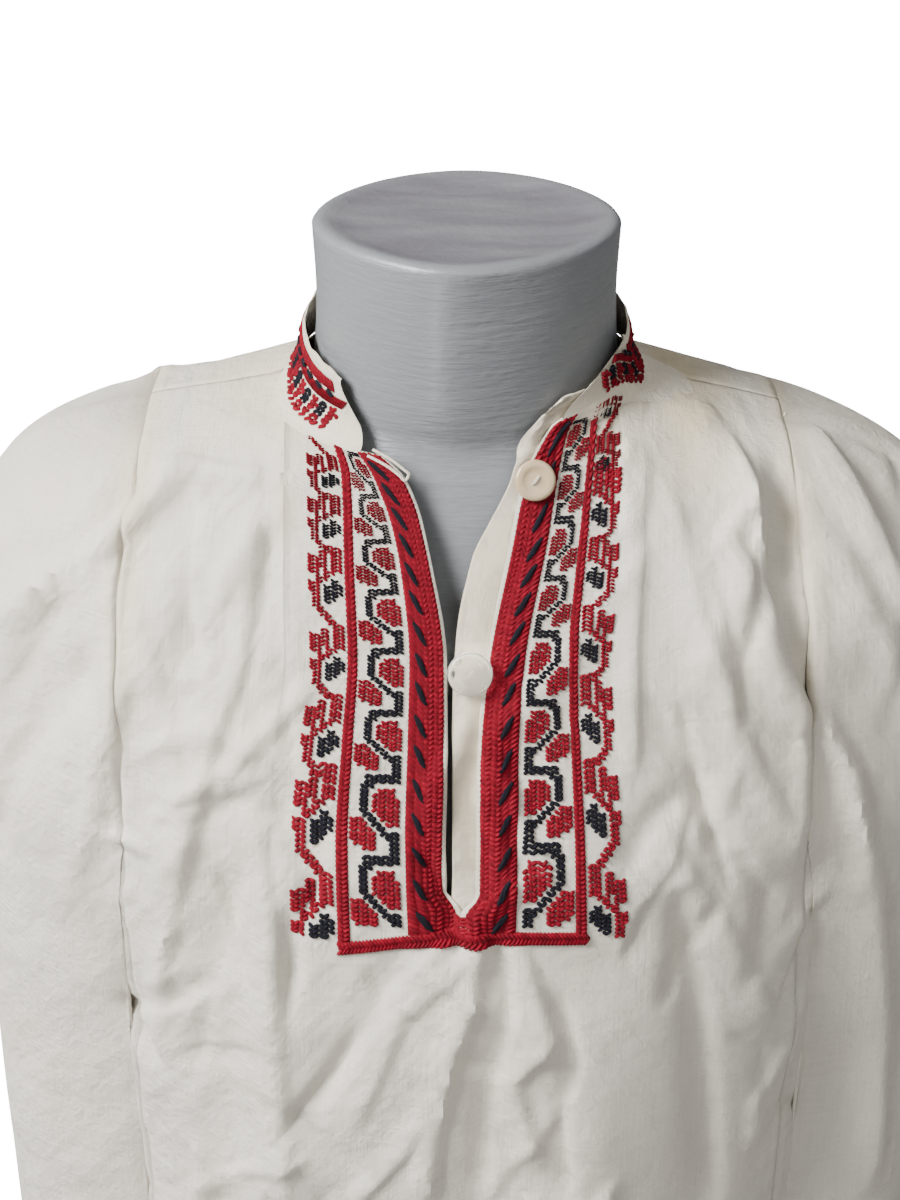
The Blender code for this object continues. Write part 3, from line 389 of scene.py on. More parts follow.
def scatterCreases(count):
    # Small soft creases that pressing and wear leave, strewn over the front, back and sleeves.
    made = []
    for _ in range(count):
        x, z = dice.uniform(-0.215, 0.215), dice.uniform(0.08, 0.79)
        face = dice.choice([toFront, toBack])
        slant, length = dice.normal(0, 0.5), dice.uniform(0.03, 0.09)
        steps = np.linspace(-0.5, 0.5, 4) * length
        pathX = x + np.sin(slant) * steps + dice.normal(0, 0.0025, 4)
        pathZ = np.clip(z + np.cos(slant) * steps, 0.07, 0.80)
        reach = np.clip(np.abs(pathX), 0, readColumn(shirtSlices, 1, pathZ) - 0.004)
        pathX = np.sign(pathX) * reach
        path = np.stack([pathX, bodyY(pathX, pathZ, face), pathZ], axis=-1)
        halfWidth = dice.uniform(0.003, 0.008)
        depth = dice.choice([-1, 1]) * dice.uniform(0.0004, 0.0011)
        made.append((path, halfWidth, depth, dice.uniform(-0.5, 0.5)))
    return made


def creaseOut(points, normals, table):
    # Along a path a bell of the distance to it, wider on one side, faded at the path's ends.
    flat, away = points.reshape(-1, 3), normals.reshape(-1, 3)
    out = np.zeros(len(flat))
    for path, halfWidth, depth, lean in table:
        reach = 3.2 * halfWidth
        inside = (flat > path.min(axis=0) - reach) & (flat < path.max(axis=0) + reach)
        near = np.flatnonzero(inside.all(axis=1))
        if not len(near):
            continue
        best, hand, along = np.full(len(near), 9.0), np.zeros(len(near)), np.zeros(len(near))
        steps = np.diff(path, axis=0)
        lengths = np.linalg.norm(steps, axis=1)
        for k, (start, step) in enumerate(zip(path, steps)):
            offset = flat[near] - start
            t = np.clip(offset @ step / lengths[k] ** 2, 0, 1)
            gap = offset - t[:, None] * step
            distance = np.linalg.norm(gap, axis=1)
            side = (np.cross(step / lengths[k], away[near]) * gap).sum(axis=1)
            nearer = distance < best
            best = np.where(nearer, distance, best)
            hand = np.where(nearer, np.tanh(side / (0.7 * halfWidth)), hand)
            along = np.where(nearer, (lengths[:k].sum() + t * lengths[k]) / lengths.sum(), along)
        width = halfWidth * (1 + lean * hand)
        ends = fade((along + 0.12) / 0.22) * fade((1.12 - along) / 0.22)
        np.add.at(out, near, depth * ends * bell(best, 0, width))
    return out.reshape(points.shape[:-1])


# How much deeper the creases are made than their tables say, and the depth of the seams' dent
deeper = {"placed": 2.1, "scattered": 3.2, "seamDent": 0.0002}
placed = [(creasePath(path), *shape) for path, *shape in creases]
allCreases = [
    (path, width, depth * deeper[kind], lean)
    for kind, table in (("placed", placed), ("scattered", scatterCreases(320)))
    for path, width, depth, lean in table
]
shoulders = {"rightLift": 0.0040, "leftDrop": 0.0030, "neckLift": 0.0110}


def neckLift(x, y):
    # Beside the left end of the collar the neckline is pushed up the neck.
    lift = shoulders["neckLift"] * ramp(x, 0.012, 0.032) * (1 - ramp(x, 0.060, 0.022))
    return lift * fade((0.01 - y) / 0.03)


def slideUp(grid):
    # The lift slides the cloth along the body's surface.
    x, y, z = grid[..., 0], grid[..., 1], grid[..., 2]
    lift = 1.2 * neckLift(x, y) * ramp(z, 0.768, 0.028)
    room = np.abs(x) < readColumn(shirtSlices, 1, z + lift) - 0.003
    shift = np.where(room & (y < 0), bodyY(x, z + lift, toFront) - bodyY(x, z, toFront), 0)
    return grid + np.stack([0 * x, shift, lift], axis=-1)


def drape(grid):
    # The right shoulder sits a little higher than the left, then the creases push the cloth along its normal.
    grid = slideUp(grid)
    normals = gridNormals(grid)
    x, z = grid[..., 0], grid[..., 2]
    lift = shoulders["rightLift"] * ramp(-x, 0.09, 0.07) - shoulders["leftDrop"] * ramp(x, 0.15, 0.05)
    out = creaseOut(grid, normals, allCreases)
    # Near the neck the form is close behind, so creases only stand out there.
    out = np.where(out < 0, out * (1 - 0.85 * ramp(z, 0.770, 0.022)), out)
    out = out - deeper["seamDent"] * bell(np.abs(x), seamX(z), 0.0016) * ramp(z, 0.62, 0.02)
    moved = grid + normals * out[..., None]
    moved[..., 2] += lift * ramp(z, 0.70, 0.05)
    return moved


def gridFaces(rows, columns, start=0):
    index = start + np.arange(rows * columns).reshape(rows, columns)
    corners = [index[:-1, :-1], index[:-1, 1:], index[1:, 1:], index[1:, :-1]]
    return np.stack(corners, axis=-1).reshape(-1, 4)


def clothDistances(grid, across=None):
    # Cloth coordinates of a grid: the mean steps of its columns and of its rows, added up.
    wide = np.linalg.norm(np.diff(grid, axis=1), axis=-1).mean(axis=0)
    long = np.linalg.norm(np.diff(grid, axis=0), axis=-1).mean(axis=1)
    u = np.concatenate([[0], np.cumsum(wide)]) if across is None else across
    v = np.concatenate([[0], np.cumsum(long)])
    return np.stack(np.meshgrid(u, v), axis=-1)


def addObject(name, mesh, finish, smooth=50):
    obj = bpy.data.objects.new(name, mesh)
    mesh.materials.append(finish)
    mesh.shade_smooth()
    mesh.set_sharp_from_angle(angle=np.radians(smooth))
    bpy.context.scene.collection.objects.link(obj)
    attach(obj, "root")
    return obj


def meshOf(name, points, faces, uv=None, values=None):
    mesh = bpy.data.meshes.new(name)
    faces = faces.tolist() if isinstance(faces, np.ndarray) else faces
    mesh.from_pydata(np.asarray(points).tolist(), [], faces)
    if uv is not None:
        corners = np.zeros(len(mesh.loops), int)
        mesh.loops.foreach_get("vertex_index", corners)
        layer = mesh.uv_layers.new(name="cloth")
        layer.data.foreach_set("uv", np.asarray(uv)[corners].astype(np.float32).ravel())
    for label, value in (values or {}).items():
        layer = mesh.attributes.new(label, "FLOAT", "POINT")
        layer.data.foreach_set("value", np.asarray(value, np.float32).ravel())
    return mesh


def faceOutwards(mesh, mergeWithin=None):
    body = bmesh.new()
    body.from_mesh(mesh)
    if mergeWithin:
        bmesh.ops.remove_doubles(body, verts=body.verts, dist=mergeWithin)
    bmesh.ops.recalc_face_normals(body, faces=body.faces)
    body.to_mesh(mesh)
    body.free()


def tubeFaces(rings):
    # rings holds the point numbers of a tube, a row for each ring: faces round it and one over each end.
    after = np.roll(rings, -1, axis=1)
    around = np.stack([rings[:-1], after[:-1], after[1:], rings[1:]], axis=-1).reshape(-1, 4)
    return [*around.tolist(), rings[0, ::-1].tolist(), rings[-1].tolist()]


def clothPiece(name, node, grids, wear, crossings=None):
    # A thin closed wall about one or two grids whose shared points are merged.
    points = np.concatenate([grid.reshape(-1, 3) for grid in grids])
    uv = np.concatenate([clothDistances(grid, None if crossings is None else crossings[k]).reshape(-1, 2)
                         for k, grid in enumerate(grids)])  # fmt: skip
    starts = np.cumsum([0] + [grid.shape[0] * grid.shape[1] for grid in grids])
    faces = np.concatenate([gridFaces(*grid.shape[:2], start) for grid, start in zip(grids, starts)])
    mesh = meshOf(name, points, faces, uv, {"wear": wear(points)})
    faceOutwards(mesh, mergeWithin=0.00002)
    obj = addObject(name, mesh, cottonCloth)
    solid = obj.modifiers.new("wall", "SOLIDIFY")
    solid.thickness = shirt["wall"]
    solid.offset = 0
    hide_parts(node)
    return obj


class Value:
    # A shader socket that Python's operators work on.
    def __init__(self, finish, socket):
        self.finish, self.socket = finish, socket

    def math(self, operation, first, second=0.0):
        return self.finish.node("ShaderNodeMath", {"operation": operation}, {0: first, 1: second})[0]

    def __add__(self, other):
        return self.math("ADD", self, other)

    def __sub__(self, other):
        return self.math("SUBTRACT", self, other)

    def __rsub__(self, other):
        return self.math("SUBTRACT", other, self)

    def __mul__(self, other):
        return self.math("MULTIPLY", self, other)

    def sine(self):
        return self.math("SINE", self)

    def size(self):
        return self.math("ABSOLUTE", self)

    def clamp(self):
        return self.math("MINIMUM", self.math("MAXIMUM", self, 0.0), 1.0)

    __radd__, __rmul__ = __add__, __mul__


class Finish:
    # A material built from one Principled shader; node() adds any other node and returns its outputs.
    def __init__(self, name, colour, roughness, **fixed):
        self.material = bpy.data.materials.new(name)
        self.material.use_nodes = True
        self.tree = self.material.node_tree
        self.shader = self.tree.nodes["Principled BSDF"]
        self.feed(self.shader, {"Base Color": (*colour, 1), "Roughness": roughness})
        self.feed(self.shader, {socket.replace("_", " "): value for socket, value in fixed.items()})

    def feed(self, node, inputs):
        for name, value in inputs.items():
            if isinstance(value, Value):
                self.tree.links.new(value.socket, node.inputs[name])
            else:
                node.inputs[name].default_value = value

    def node(self, kind, settings=None, inputs=None):
        made = self.tree.nodes.new(kind)
        for name, value in (settings or {}).items():
            setattr(made, name, value)
        self.feed(made, inputs or {})
        return [Value(self, socket) for socket in made.outputs]

    def noise(self, place, scale, detail=3.0, roughness=0.5):
        inputs = {"Vector": place, "Scale": scale, "Detail": detail, "Roughness": roughness}
        return self.node("ShaderNodeTexNoise", None, inputs)[0]

    def mix(self, share, first, second):
        ends = {6: first, 7: second}
        ends = {key: end if isinstance(end, Value) else (*end, 1) for key, end in ends.items()}
        return self.node("ShaderNodeMix", {"data_type": "RGBA"}, {0: share, **ends})[2]

    def objectPlace(self):
        return self.node("ShaderNodeTexCoord")[3]

    def axes(self, place):
        return self.node("ShaderNodeSeparateXYZ", None, {0: place})[:3]

    def clothPlace(self):
        # Distances across and along the cloth.
        return self.axes(self.node("ShaderNodeUVMap", {"uv_map": "cloth"})[0])[:2]

    def attribute(self, name):
        return self.node("ShaderNodeAttribute", {"attribute_name": name})[2]

    def spot(self, x, y, z=0.0):
        return self.node("ShaderNodeCombineXYZ", None, {0: x, 1: y, 2: z})[0]

    def colour(self, value):
        self.feed(self.shader, {"Base Color": value})

    def bump(self, height, depth, strength=1.0):
        sizes = {"Height": height, "Distance": depth, "Strength": strength}
        normal = self.node("ShaderNodeBump", None, sizes)[0]
        self.feed(self.shader, {"Normal": normal})


cottonLook = {
    "clean": (0.82, 0.765, 0.655),
    "shade": (0.71, 0.66, 0.555),
    "agedAndShaded": (0.76, 0.64, 0.43),
    "threadPitch": 0.00075,
    "reliefDepth": 0.00040,
}


def cottonFinish(name):
    # Plain weave: the product of two sines; slubs: noise drawn out along each thread direction.
    look = cottonLook
    finish = Finish(name, look["clean"], 0.88, Sheen_Weight=0.15, Sheen_Roughness=0.5)
    u, v = finish.clothPlace()
    turns = 2 * np.pi / look["threadPitch"]
    weave = (u * turns).sine() * (v * turns).sine()
    slubAcross = finish.noise(finish.spot(u * 30, v * 900), 1.0, 2.0)
    slubDown = finish.noise(finish.spot(u * 900, v * 30), 1.0, 2.0)
    cloud = finish.noise(finish.objectPlace(), 14.0, 4.0)
    wear = finish.attribute("wear")
    threads = (slubAcross + slubDown - 1.0) * 1.3 + 0.5
    base = finish.mix(threads.clamp(), look["shade"], look["clean"])
    base = finish.mix(((cloud - 0.45) * 1.2).clamp() * 0.35, base, look["agedAndShaded"])
    # The wear attribute mixes in the aged tone: real yellowing and stains, and painted shade beside the neck
    # on the wearer's left shoulder.
    finish.colour(finish.mix((wear * (cloud + 0.5)).clamp(), base, look["agedAndShaded"]))
    # Soft wrinkles fan out from the neck: noise drawn out along lines that lead outwards as they fall.
    x, y, z = finish.axes(finish.objectPlace())
    outwards = x.size()
    across, along = outwards * 0.8 + z * 0.6, z * 0.8 - outwards * 0.6
    fan = finish.noise(finish.spot(across * 34, along * 9, y * 12), 1.0, 4.0, 0.55)
    crumple = finish.noise(finish.objectPlace(), 26.0, 5.0, 0.6)
    wrinkle = finish.noise(finish.objectPlace(), 85.0, 4.0)
    height = weave * 0.35 + (slubAcross + slubDown) + wrinkle * 3.4 + crumple * 17.0 + fan * 18.0
    finish.bump(height, look["reliefDepth"])
    return finish.material


threadLook = {"twistPitch": 0.0006, "twistDepth": 0.00018}


def threadFinish(name, colour, dark):
    # Twisted thread: a sine along and round each stitch, which also darkens the colour in its grooves as
    # painted shade; every stitch has its own shade.
    finish = Finish(name, colour, 0.85, Specular_IOR_Level=0.25)
    u, v = finish.clothPlace()
    shade = finish.attribute("shade")
    twist = (u * (2 * np.pi / threadLook["twistPitch"]) + v * (2 * np.pi)).sine() * 0.5 + 0.5
    # The twist's share of the colour is painted shade in the thread's grooves.
    share = (shade * 0.6 + twist * 0.25 + finish.noise(finish.objectPlace(), 700.0, 2.0) * 0.3 - 0.15).clamp()
    finish.colour(finish.mix(share, dark, colour))
    finish.bump(twist, threadLook["twistDepth"])
    return finish.material


formLook = {
    "body": (0.160, 0.167, 0.175),
    "bodyPale": (0.190, 0.197, 0.205),
    "cap": (0.120, 0.114, 0.126),
    "capPale": (0.185, 0.180, 0.192),
    "capFootZ": 0.8735,
    "rippleDepth": 0.00045,
}


def formFinish():
    # Satin moulded plastic: level ripples are noise drawn out sideways; the top is darker and streaked.
    look = formLook
    finish = Finish("form_plastic_grey", look["body"], 0.36, Coat_Weight=0.15, Coat_Roughness=0.25)
    place = finish.objectPlace()
    x, y, z = finish.axes(place)
    cloud = finish.noise(place, 9.0, 4.0)
    top = ((z - look["capFootZ"]) * 260).clamp()
    swirl = finish.noise(finish.spot(x * 14, y * 60, 0.0), 1.0, 4.0)
    body = finish.mix(cloud, look["body"], look["bodyPale"])
    cap = finish.mix(((swirl - 0.4) * 3).clamp(), look["cap"], look["capPale"])
    wear = finish.attribute("wear")
    finish.colour(finish.mix((top * wear).clamp(), body, cap))
    ripple = finish.noise(finish.spot(x * 60, y * 60, z * 520), 1.0, 3.0, 0.6)
    pits = finish.noise(place, 260.0, 2.0)
    finish.feed(finish.shader, {"Roughness": (pits * 0.22 + 0.30).clamp()})
    finish.bump(ripple + pits * 0.5, look["rippleDepth"])
    return finish.material


# Light, floor and camera
print("stage")
stageSizes = {"floorTone": (0.92, 0.92, 0.92), "floorGlow": 16.0, "world": 0.26}
floorMesh = meshOf("floor", [(x, y, 0) for x, y in ((-8, -8), (8, -8), (8, 8), (-8, 8))], [[0, 1, 2, 3]])
floorFinish = Finish("floor_pale", stageSizes["floorTone"], 0.9, Emission_Strength=stageSizes["floorGlow"])
floorFinish.feed(floorFinish.shader, {"Emission Color": (1, 1, 1, 1)})
floorMesh.materials.append(floorFinish.material)
floor = bpy.data.objects.new("floor", floorMesh)
# The bright floor is seen, but doesn't light the cloth from below.
floor.visible_diffuse = floor.visible_glossy = False
bpy.context.scene.collection.objects.link(floor)
world = bpy.data.worlds.new("studio")
world.use_nodes = True
world.node_tree.nodes["Background"].inputs["Color"].default_value = (1.0, 1.0, 1.0, 1)
world.node_tree.nodes["Background"].inputs["Strength"].default_value = stageSizes["world"]
bpy.context.scene.world = world
lamps = {
    "key": {"at": (-1.25, -0.75, 1.95), "to": (0, -0.05, 0.68), "size": 0.8, "power": 117},
    "fill": {"at": (0.9, -1.3, 1.7), "to": (0, 0, 0.65), "size": 1.4, "power": 11},
    "low": {"at": (-0.60, -1.4, 0.15), "to": (0, 0, 0.85), "size": 0.25, "power": 5},
}
for name, lamp in lamps.items():
    light = bpy.data.lights.new(name, "AREA")
    light.energy, light.size = lamp["power"], lamp["size"]
    holder = bpy.data.objects.new(name, light)
    holder.location = lamp["at"]
    holder.rotation_euler = (Vector(lamp["to"]) - Vector(lamp["at"])).to_track_quat("-Z", "Y").to_euler()
    bpy.context.scene.collection.objects.link(holder)
view = {"at": (-0.007, -0.827, 1.183), "down": 30.6, "lens": 61.83}
camera = bpy.data.objects.new("camera", bpy.data.cameras.new("camera"))
camera.data.lens, camera.data.sensor_width, camera.data.clip_start = view["lens"], 36, 0.01
camera.location = view["at"]
camera.rotation_euler = (np.radians(90 - view["down"]), 0, 0)
bpy.context.scene.collection.objects.link(camera)
bpy.context.scene.camera = camera


# The dress form
print("dress form")
formSizes = {
    "turns": 120, "topZ": 0.8775, "crestX": -0.012, "crestHalf": 0.020, "crestOut": 0.0025, "inset": 0.01,
}  # fmt: skip
# The rounded rim and the dished top: share of the way out, height above the last slice, wear
formCap = np.array([
    [0.985, 0.0014, 0], [0.96, 0.0022, 0.1], [0.93, 0.0025, 0.3], [0.89, 0.0022, 0.7], [0.84, 0.0014, 1],
    [0.78, 0.0006, 1], [0.7, 0.0001, 1], [0.55, -0.0002, 1], [0.4, -0.0003, 1], [0.2, -0.0003, 1],
    [0.02, -0.0003, 1],
])  # fmt: skip


def dressForm():
    # Level slices read through a monotone cubic, a rounded rim, and a top that dips towards its middle.
    s = formSizes
    turn = np.linspace(0, 2 * np.pi, s["turns"], endpoint=False)
    z = np.concatenate([np.linspace(0, 0.74, 75), np.linspace(0.743, s["topZ"], 60)])
    rings = []
    for level in z:
        x, y = roundSlice(formSlices, level, turn)
        onNeck = (y < 0.005) * ramp(level, 0.79, 0.03)
        y = y - s["crestOut"] * onNeck * bell(x, s["crestX"], s["crestHalf"])
        inward = 1 - s["inset"] * ramp(level, 0.70, 0.04) * (1 - ramp(level, 0.800, 0.008))
        rings.append(np.stack([x * inward, y * inward, np.full_like(x, level)], axis=-1))
    rim = rings[-1]
    middle = rim.mean(axis=0)
    rings += [middle + (rim - middle) * share + [0, 0, height] for share, height, _ in formCap]
    points = np.stack(rings)
    count, turns = points.shape[:2]
    faces = tubeFaces(np.arange(count * turns).reshape(count, turns))
    wear = np.concatenate([np.zeros(count - len(formCap)), formCap[:, 2]])
    mesh = meshOf("dress_form_body", points.reshape(-1, 3), faces, values={"wear": np.repeat(wear, turns)})
    obj = addObject("dress_form_body", mesh, formFinish(), 40)
    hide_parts("dress_form")


dressForm()

# The cloth panels
print("cloth panels")
rows = {
    "top": 88, "lowStep": 0.0022, "fineFootZ": 0.45, "low": 78,
    "backTop": 46, "backLow": 90, "backStartZ": 0.6,
}  # fmt: skip
stretches = zip(bandKnots[:-1], bandKnots[1:], (9, 13, 13, 42))
frontColumns = np.concatenate([[0], *[np.linspace(start, end, count)[1:] for start, end, count in stretches]])
# One column ends right at the side of the neck.
besideNeck = min(neckSide(right), neckSide(left)) - beside["clear"]
frontColumns[np.argmin(np.abs(frontColumns - besideNeck))] = besideNeck
fineRows = np.arange(shirt["slitFootZ"] - rows["lowStep"], rows["fineFootZ"], -rows["lowStep"])
lowRows = np.concatenate([fineRows, np.linspace(rows["fineFootZ"], shirt["hemZ"], rows["low"])])
cottonCloth = cottonFinish("cotton_cloth")


def clothWearAndShade(points):
    # Yellowing along the collar and the shoulder seams, a tint along the slit, one faint stain on the
    # wearer's right, and painted shade by the neck.
    x, y, z = points[:, 0], points[:, 1], points[:, 2]
    seam = bell(np.abs(x), seamX(z), 0.007) * ramp(z, 0.66, 0.08) * 0.55
    collar = ramp(z, 0.785, 0.02) * (np.abs(x) < 0.12) * 0.5
    stain = 0.6 * bell(x, -0.0755, 0.004) * bell(z, 0.7745, 0.009) * (y < 0)
    slit = 0.35 * bell(x, 0, 0.012) * (z > 0.60) * (y < 0)
    # Painted shade: a darker, yellower patch beside the neck on the wearer's left shoulder, the side turned
    # from the key lamp.
    shoulder = 0.55 * ramp(x, 0.075, 0.02) * fade((0.125 - x) / 0.03) * ramp(z, 0.775, 0.01)
    return np.clip(seam + collar + stain + slit + shoulder, 0, 1)


topRows = np.linspace(0, 1, rows["top"] + 1)
frontRaw = {
    side: panelHalf(side, toFront, frontColumns, topRows, shirt["slitFootZ"], lowRows)
    for side in (right, left)
}
frontGrid = {side: drape(grid) for side, grid in frontRaw.items()}
# Both halves meet on one line under the slit.
closed = frontRaw[right][:, 0, 2] <= shirt["slitTipZ"] + 1e-6
meeting = (frontGrid[right][closed, 0] + frontGrid[left][closed, 0]) / 2
frontGrid[right][closed, 0] = frontGrid[left][closed, 0] = meeting
frontHalves, crossings = [frontGrid[right], frontGrid[left]], [-frontColumns, frontColumns]
frontCloth = clothPiece("front_cloth", "front_panel", frontHalves, clothWearAndShade, crossings)

backColumns = np.linspace(0, shirt["panelHalf"], 34)
backTopRows = np.linspace(0, 1, rows["backTop"])
backRows = np.linspace(rows["backStartZ"], shirt["hemZ"], rows["backLow"])
backGrids = []
for side in (right, left):
    grid = panelHalf(side, toBack, backColumns, backTopRows, shirt["slitFootZ"], backRows)
    grid[0] += (grid[1] - grid[0]) * 0.0006 / np.linalg.norm(grid[1] - grid[0], axis=1)[:, None]
    backGrids.append(drape(grid))
middle = (backGrids[0][:, 0] + backGrids[1][:, 0]) / 2
backGrids[0][:, 0] = backGrids[1][:, 0] = middle
backCloth = clothPiece("back_cloth", "back_panel", backGrids, clothWearAndShade, [-backColumns, backColumns])


def sliceArc(table, z, fromX, share, grow=0.0):
    # Round the side of one slice, from its front at fromX (share 0) to its back (share 1).
    halfWidth, halfDepth, centreY, power = readSlice(table, z)
    halfWidth, halfDepth = halfWidth + grow, halfDepth + grow
    end = np.arccos((fromX / halfWidth) ** (power / 2))
    turn = end * (2 * share - 1)
    x = halfWidth * np.cos(turn) ** (2 / power)
    y = centreY + halfDepth * np.sign(turn) * np.abs(np.sin(turn)) ** (2 / power)
    return np.stack([x, y, np.full_like(x, z)], axis=-1)


def pullEnds(arc, front, back, share, reach=0.3):
    nearFront, nearBack = (1 - fade(share / reach))[:, None], (1 - fade((1 - share) / reach))[:, None]
    return arc + (front - arc[0]) * nearFront + (back - arc[-1]) * nearBack


def creaseSleeve(arc, z, share):
    along = np.gradient(arc[:, :2], axis=0)
    outward = np.stack([along[:, 1], -along[:, 0]], axis=1)
    outward /= np.linalg.norm(outward, axis=1, keepdims=True)
    out = 0 * share
    for topShare, topZ, lowShare, foldLowZ, halfWidth, depth in sleeveFolds:
        down = (topZ - z) / (topZ - foldLowZ)
        ends = fade(down * 4) * (1 - fade((down - 1) * 4))
        out = out + depth * ends * bell(share, topShare + (lowShare - topShare) * down, halfWidth)
    out *= fade(share / 0.12) * fade((1 - share) / 0.12)
    return arc + np.column_stack([outward * out[:, None], 0 * out])


def seamEnds(z, clear):
    x = seamX(z)
    return [np.array([x, float(bodyY(x, z, face)) + face * clear, z]) for face in (toFront, toBack)]


def sleeveRing(z, share, layer, side):
    # A bent lens at each level, blended into the shoulder's slice at the underarm.
    # Its front edge lies against the body.
    columns = (1, 2, 4, 6, 7) if side == right else (1, 3, 5, 6, 7)
    outerX, innerX, frontEdgeX, backEdgeX, backEdgeY = (readColumn(sleeveLevels, k, z) for k in columns)
    frontEdgeY = float(bodyY(frontEdgeX, z, toFront)) - 0.0016
    across = np.sin(np.pi * (share - 0.5))
    edgeX = frontEdgeX + (backEdgeX - frontEdgeX) * share
    middleX = (outerX + innerX) / 2
    halfGap = (outerX - innerX) / 2 * np.sqrt(1 - across**4)
    x = middleX - (middleX - edgeX) * np.abs(across) ** 2.4 + layer * halfGap
    y = frontEdgeY + (backEdgeY - frontEdgeY) * (across + 1) / 2
    lens = np.stack([x, y, np.full_like(x, z)], axis=-1)
    table, grow = (sleeveSlices, 0.0) if layer > 0 else (shirtSlices, 0.004)
    arc = pullEnds(sliceArc(table, z, seamX(z), share, grow), lens[0], lens[-1], share)
    return arc + (lens - arc) * fade((shirt["underarmZ"] - z) / 0.055)


def sleeve(side):
    share = np.linspace(0, 1, 21)
    zTable = np.linspace(0.72, 0.80, 400)
    widths = readColumn(shirtSlices, 1, zTable)
    ridgeZ = np.interp(0, -(widths - seamX(zTable)), zTable)
    capWidths = [0.1440, 0.1510, 0.1610, 0.1720, 0.1830, 0.1930, 0.2020, 0.2095, 0.2150]
    capZ = [float(np.interp(-width, -widths, zTable)) for width in capWidths]
    capZ += [0.717, 0.695, 0.672, 0.650, 0.637]
    cap = []
    for z in capZ:
        front, back = seamEnds(z, 0)
        arc = pullEnds(sliceArc(sleeveSlices, z, front[0], share), front, back, share)
        cap.append(creaseSleeve(arc, z, share))
    crest = cap[0].copy()
    crest[:, 0] = seamX(ridgeZ)
    crest[:, 1] = cap[0][0, 1] + (cap[0][-1, 1] - cap[0][0, 1]) * share
    crest[:, 2] = ridgeZ - (ridgeZ - capZ[0]) * np.abs(2 * share - 1) ** 1.8
    underarm = shirt["underarmZ"]
    front, back = seamEnds(underarm, 0.0012)
    outerRing = pullEnds(sliceArc(sleeveSlices, underarm, front[0], share), front, back, share)
    outerRing = creaseSleeve(outerRing, underarm, share)
    innerRing = pullEnds(sliceArc(shirtSlices, underarm, front[0], share, 0.0017), front, back, share)
    tubeZ = [0.612, 0.596, 0.574, 0.547, 0.514, 0.474, 0.428, 0.378, 0.330, 0.286, 0.245]
    outerTube = [creaseSleeve(sleeveRing(z, share, 1, side), z, share) for z in tubeZ]
    outer = np.stack([crest, *cap, outerRing, *outerTube])
    inner = np.stack([innerRing, *[sleeveRing(z, share, -1, side) for z in tubeZ]])
    mirror = np.array([side, 1, 1])
    outer = between(between(outer * mirror, 4, 1), 5, 0)
    outer = drape(outer)
    inner = between(between(inner * mirror, 4, 1), 5, 0)
    # The outer and inner layer share their front and back edges under the arm.
    inner[:, 0], inner[:, -1] = outer[-len(inner):, 0], outer[-len(inner):, -1]
    name = f"{sideName[side]}_sleeve"
    return clothPiece(f"{name}_cloth", name, [outer, inner], clothWearAndShade)


def sidePanel(side):
    share = np.linspace(0, 1, 25)
    z = np.concatenate([[0.6235], np.linspace(0.618, shirt["hemZ"], 70)])
    grid = np.stack([sliceArc(shirtSlices, level, seamX(level) + shirt["seamGap"] / 2, share) for level in z])
    # The loose cloth under the arm swells towards the sleeve.
    swell = fade((0.600 - z) / 0.05) * ramp(z, 0.10, 0.15)
    bulge = swell[:, None] * 0.004 * fade(share / 0.3) * fade((1 - share) / 0.3)
    grid = drape((grid + gridNormals(grid) * bulge[..., None]) * [side, 1, 1])
    name = f"{sideName[side]}_side"
    return clothPiece(f"{name}_cloth", f"{name}_panel", [grid], clothWearAndShade)


sleeves = {side: sleeve(side) for side in (right, left)}
sides = {side: sidePanel(side) for side in (right, left)}

# The facing behind the slit
print("facing and collar")


def evenWear(points):
    return np.full(len(points), 0.55)


def slitFacing():
    # A strip between its free edge and the slit's sewn edge; its top end rises past the neckline, crumpled.
    z = np.linspace(0.608, 0.8068, 110)[:, None]
    freeEdge = smoothRead(facingEdge[:, 0], facingEdge[:, 1], z)
    sewnEdge = readColumn(bandEdges[left], 1, z) + 0.008
    x = freeEdge + (sewnEdge - freeEdge) * np.linspace(0, 1, 18)
    grid = np.stack([x, bodyY(x, z + 0 * x, toFront), z + 0 * x], axis=-1)
    share = np.linspace(1, 0, 18)
    rise = ramp(z, 0.780, 0.02)
    wave = 0.0004 * np.sin(grid[..., 2] * 190 + x * 120) * share
    crumple = rise * share * (0.0016 * np.sin(z * 620 + x * 260) + 0.0012 * np.sin(z * 330 - x * 420 + 1))
    lean = 0.0012 * rise * share
    grid = drape(grid - gridNormals(grid) * (0.0023 - wave - crumple - lean)[..., None])
    return clothPiece("slit_facing_cloth", "slit_facing", [grid], evenWear)


facing = slitFacing()

# The collar band
collar = {
    "height": 0.0245,
    "endTurn": np.arctan2(-0.0655, 0.0435),
    "turns": 260,
    "slant": {left: np.radians(38), right: np.radians(15.5)},
}


def neckline(turn):
    # Halving search for the level at which the slice meets the neckline's sloping plane.
    low, high = np.full_like(turn, 0.77), np.full_like(turn, 0.84)
    for _ in range(40):
        z = (low + high) / 2
        x, y = roundSlice(shirtSlices, z, turn)
        above = z > shirt["necklineZ"] + shirt["necklineSlope"] * y + neckLift(x, y)
        low, high = np.where(above, low, z), np.where(above, z, high)
    return z


def collarGrid(heights, slanted=False):
    # Heights above the neckline at angles round the neck; each front end may be cut back as it rises.
    heights = np.asarray(heights)
    heights = heights[:, None] if heights.ndim == 1 else heights
    risen = fade(heights / collar["height"])
    back = {side: collar["slant"][side] * risen * slanted for side in (right, left)}
    first, last = collar["endTurn"] + back[left], np.pi - collar["endTurn"] - back[right]
    turn = first + (last - first) * np.linspace(0, 1, collar["turns"])
    z = neckline(turn) + heights
    x, y = roundSlice(shirtSlices, z, turn)
    return np.stack([x, y, z], axis=-1)


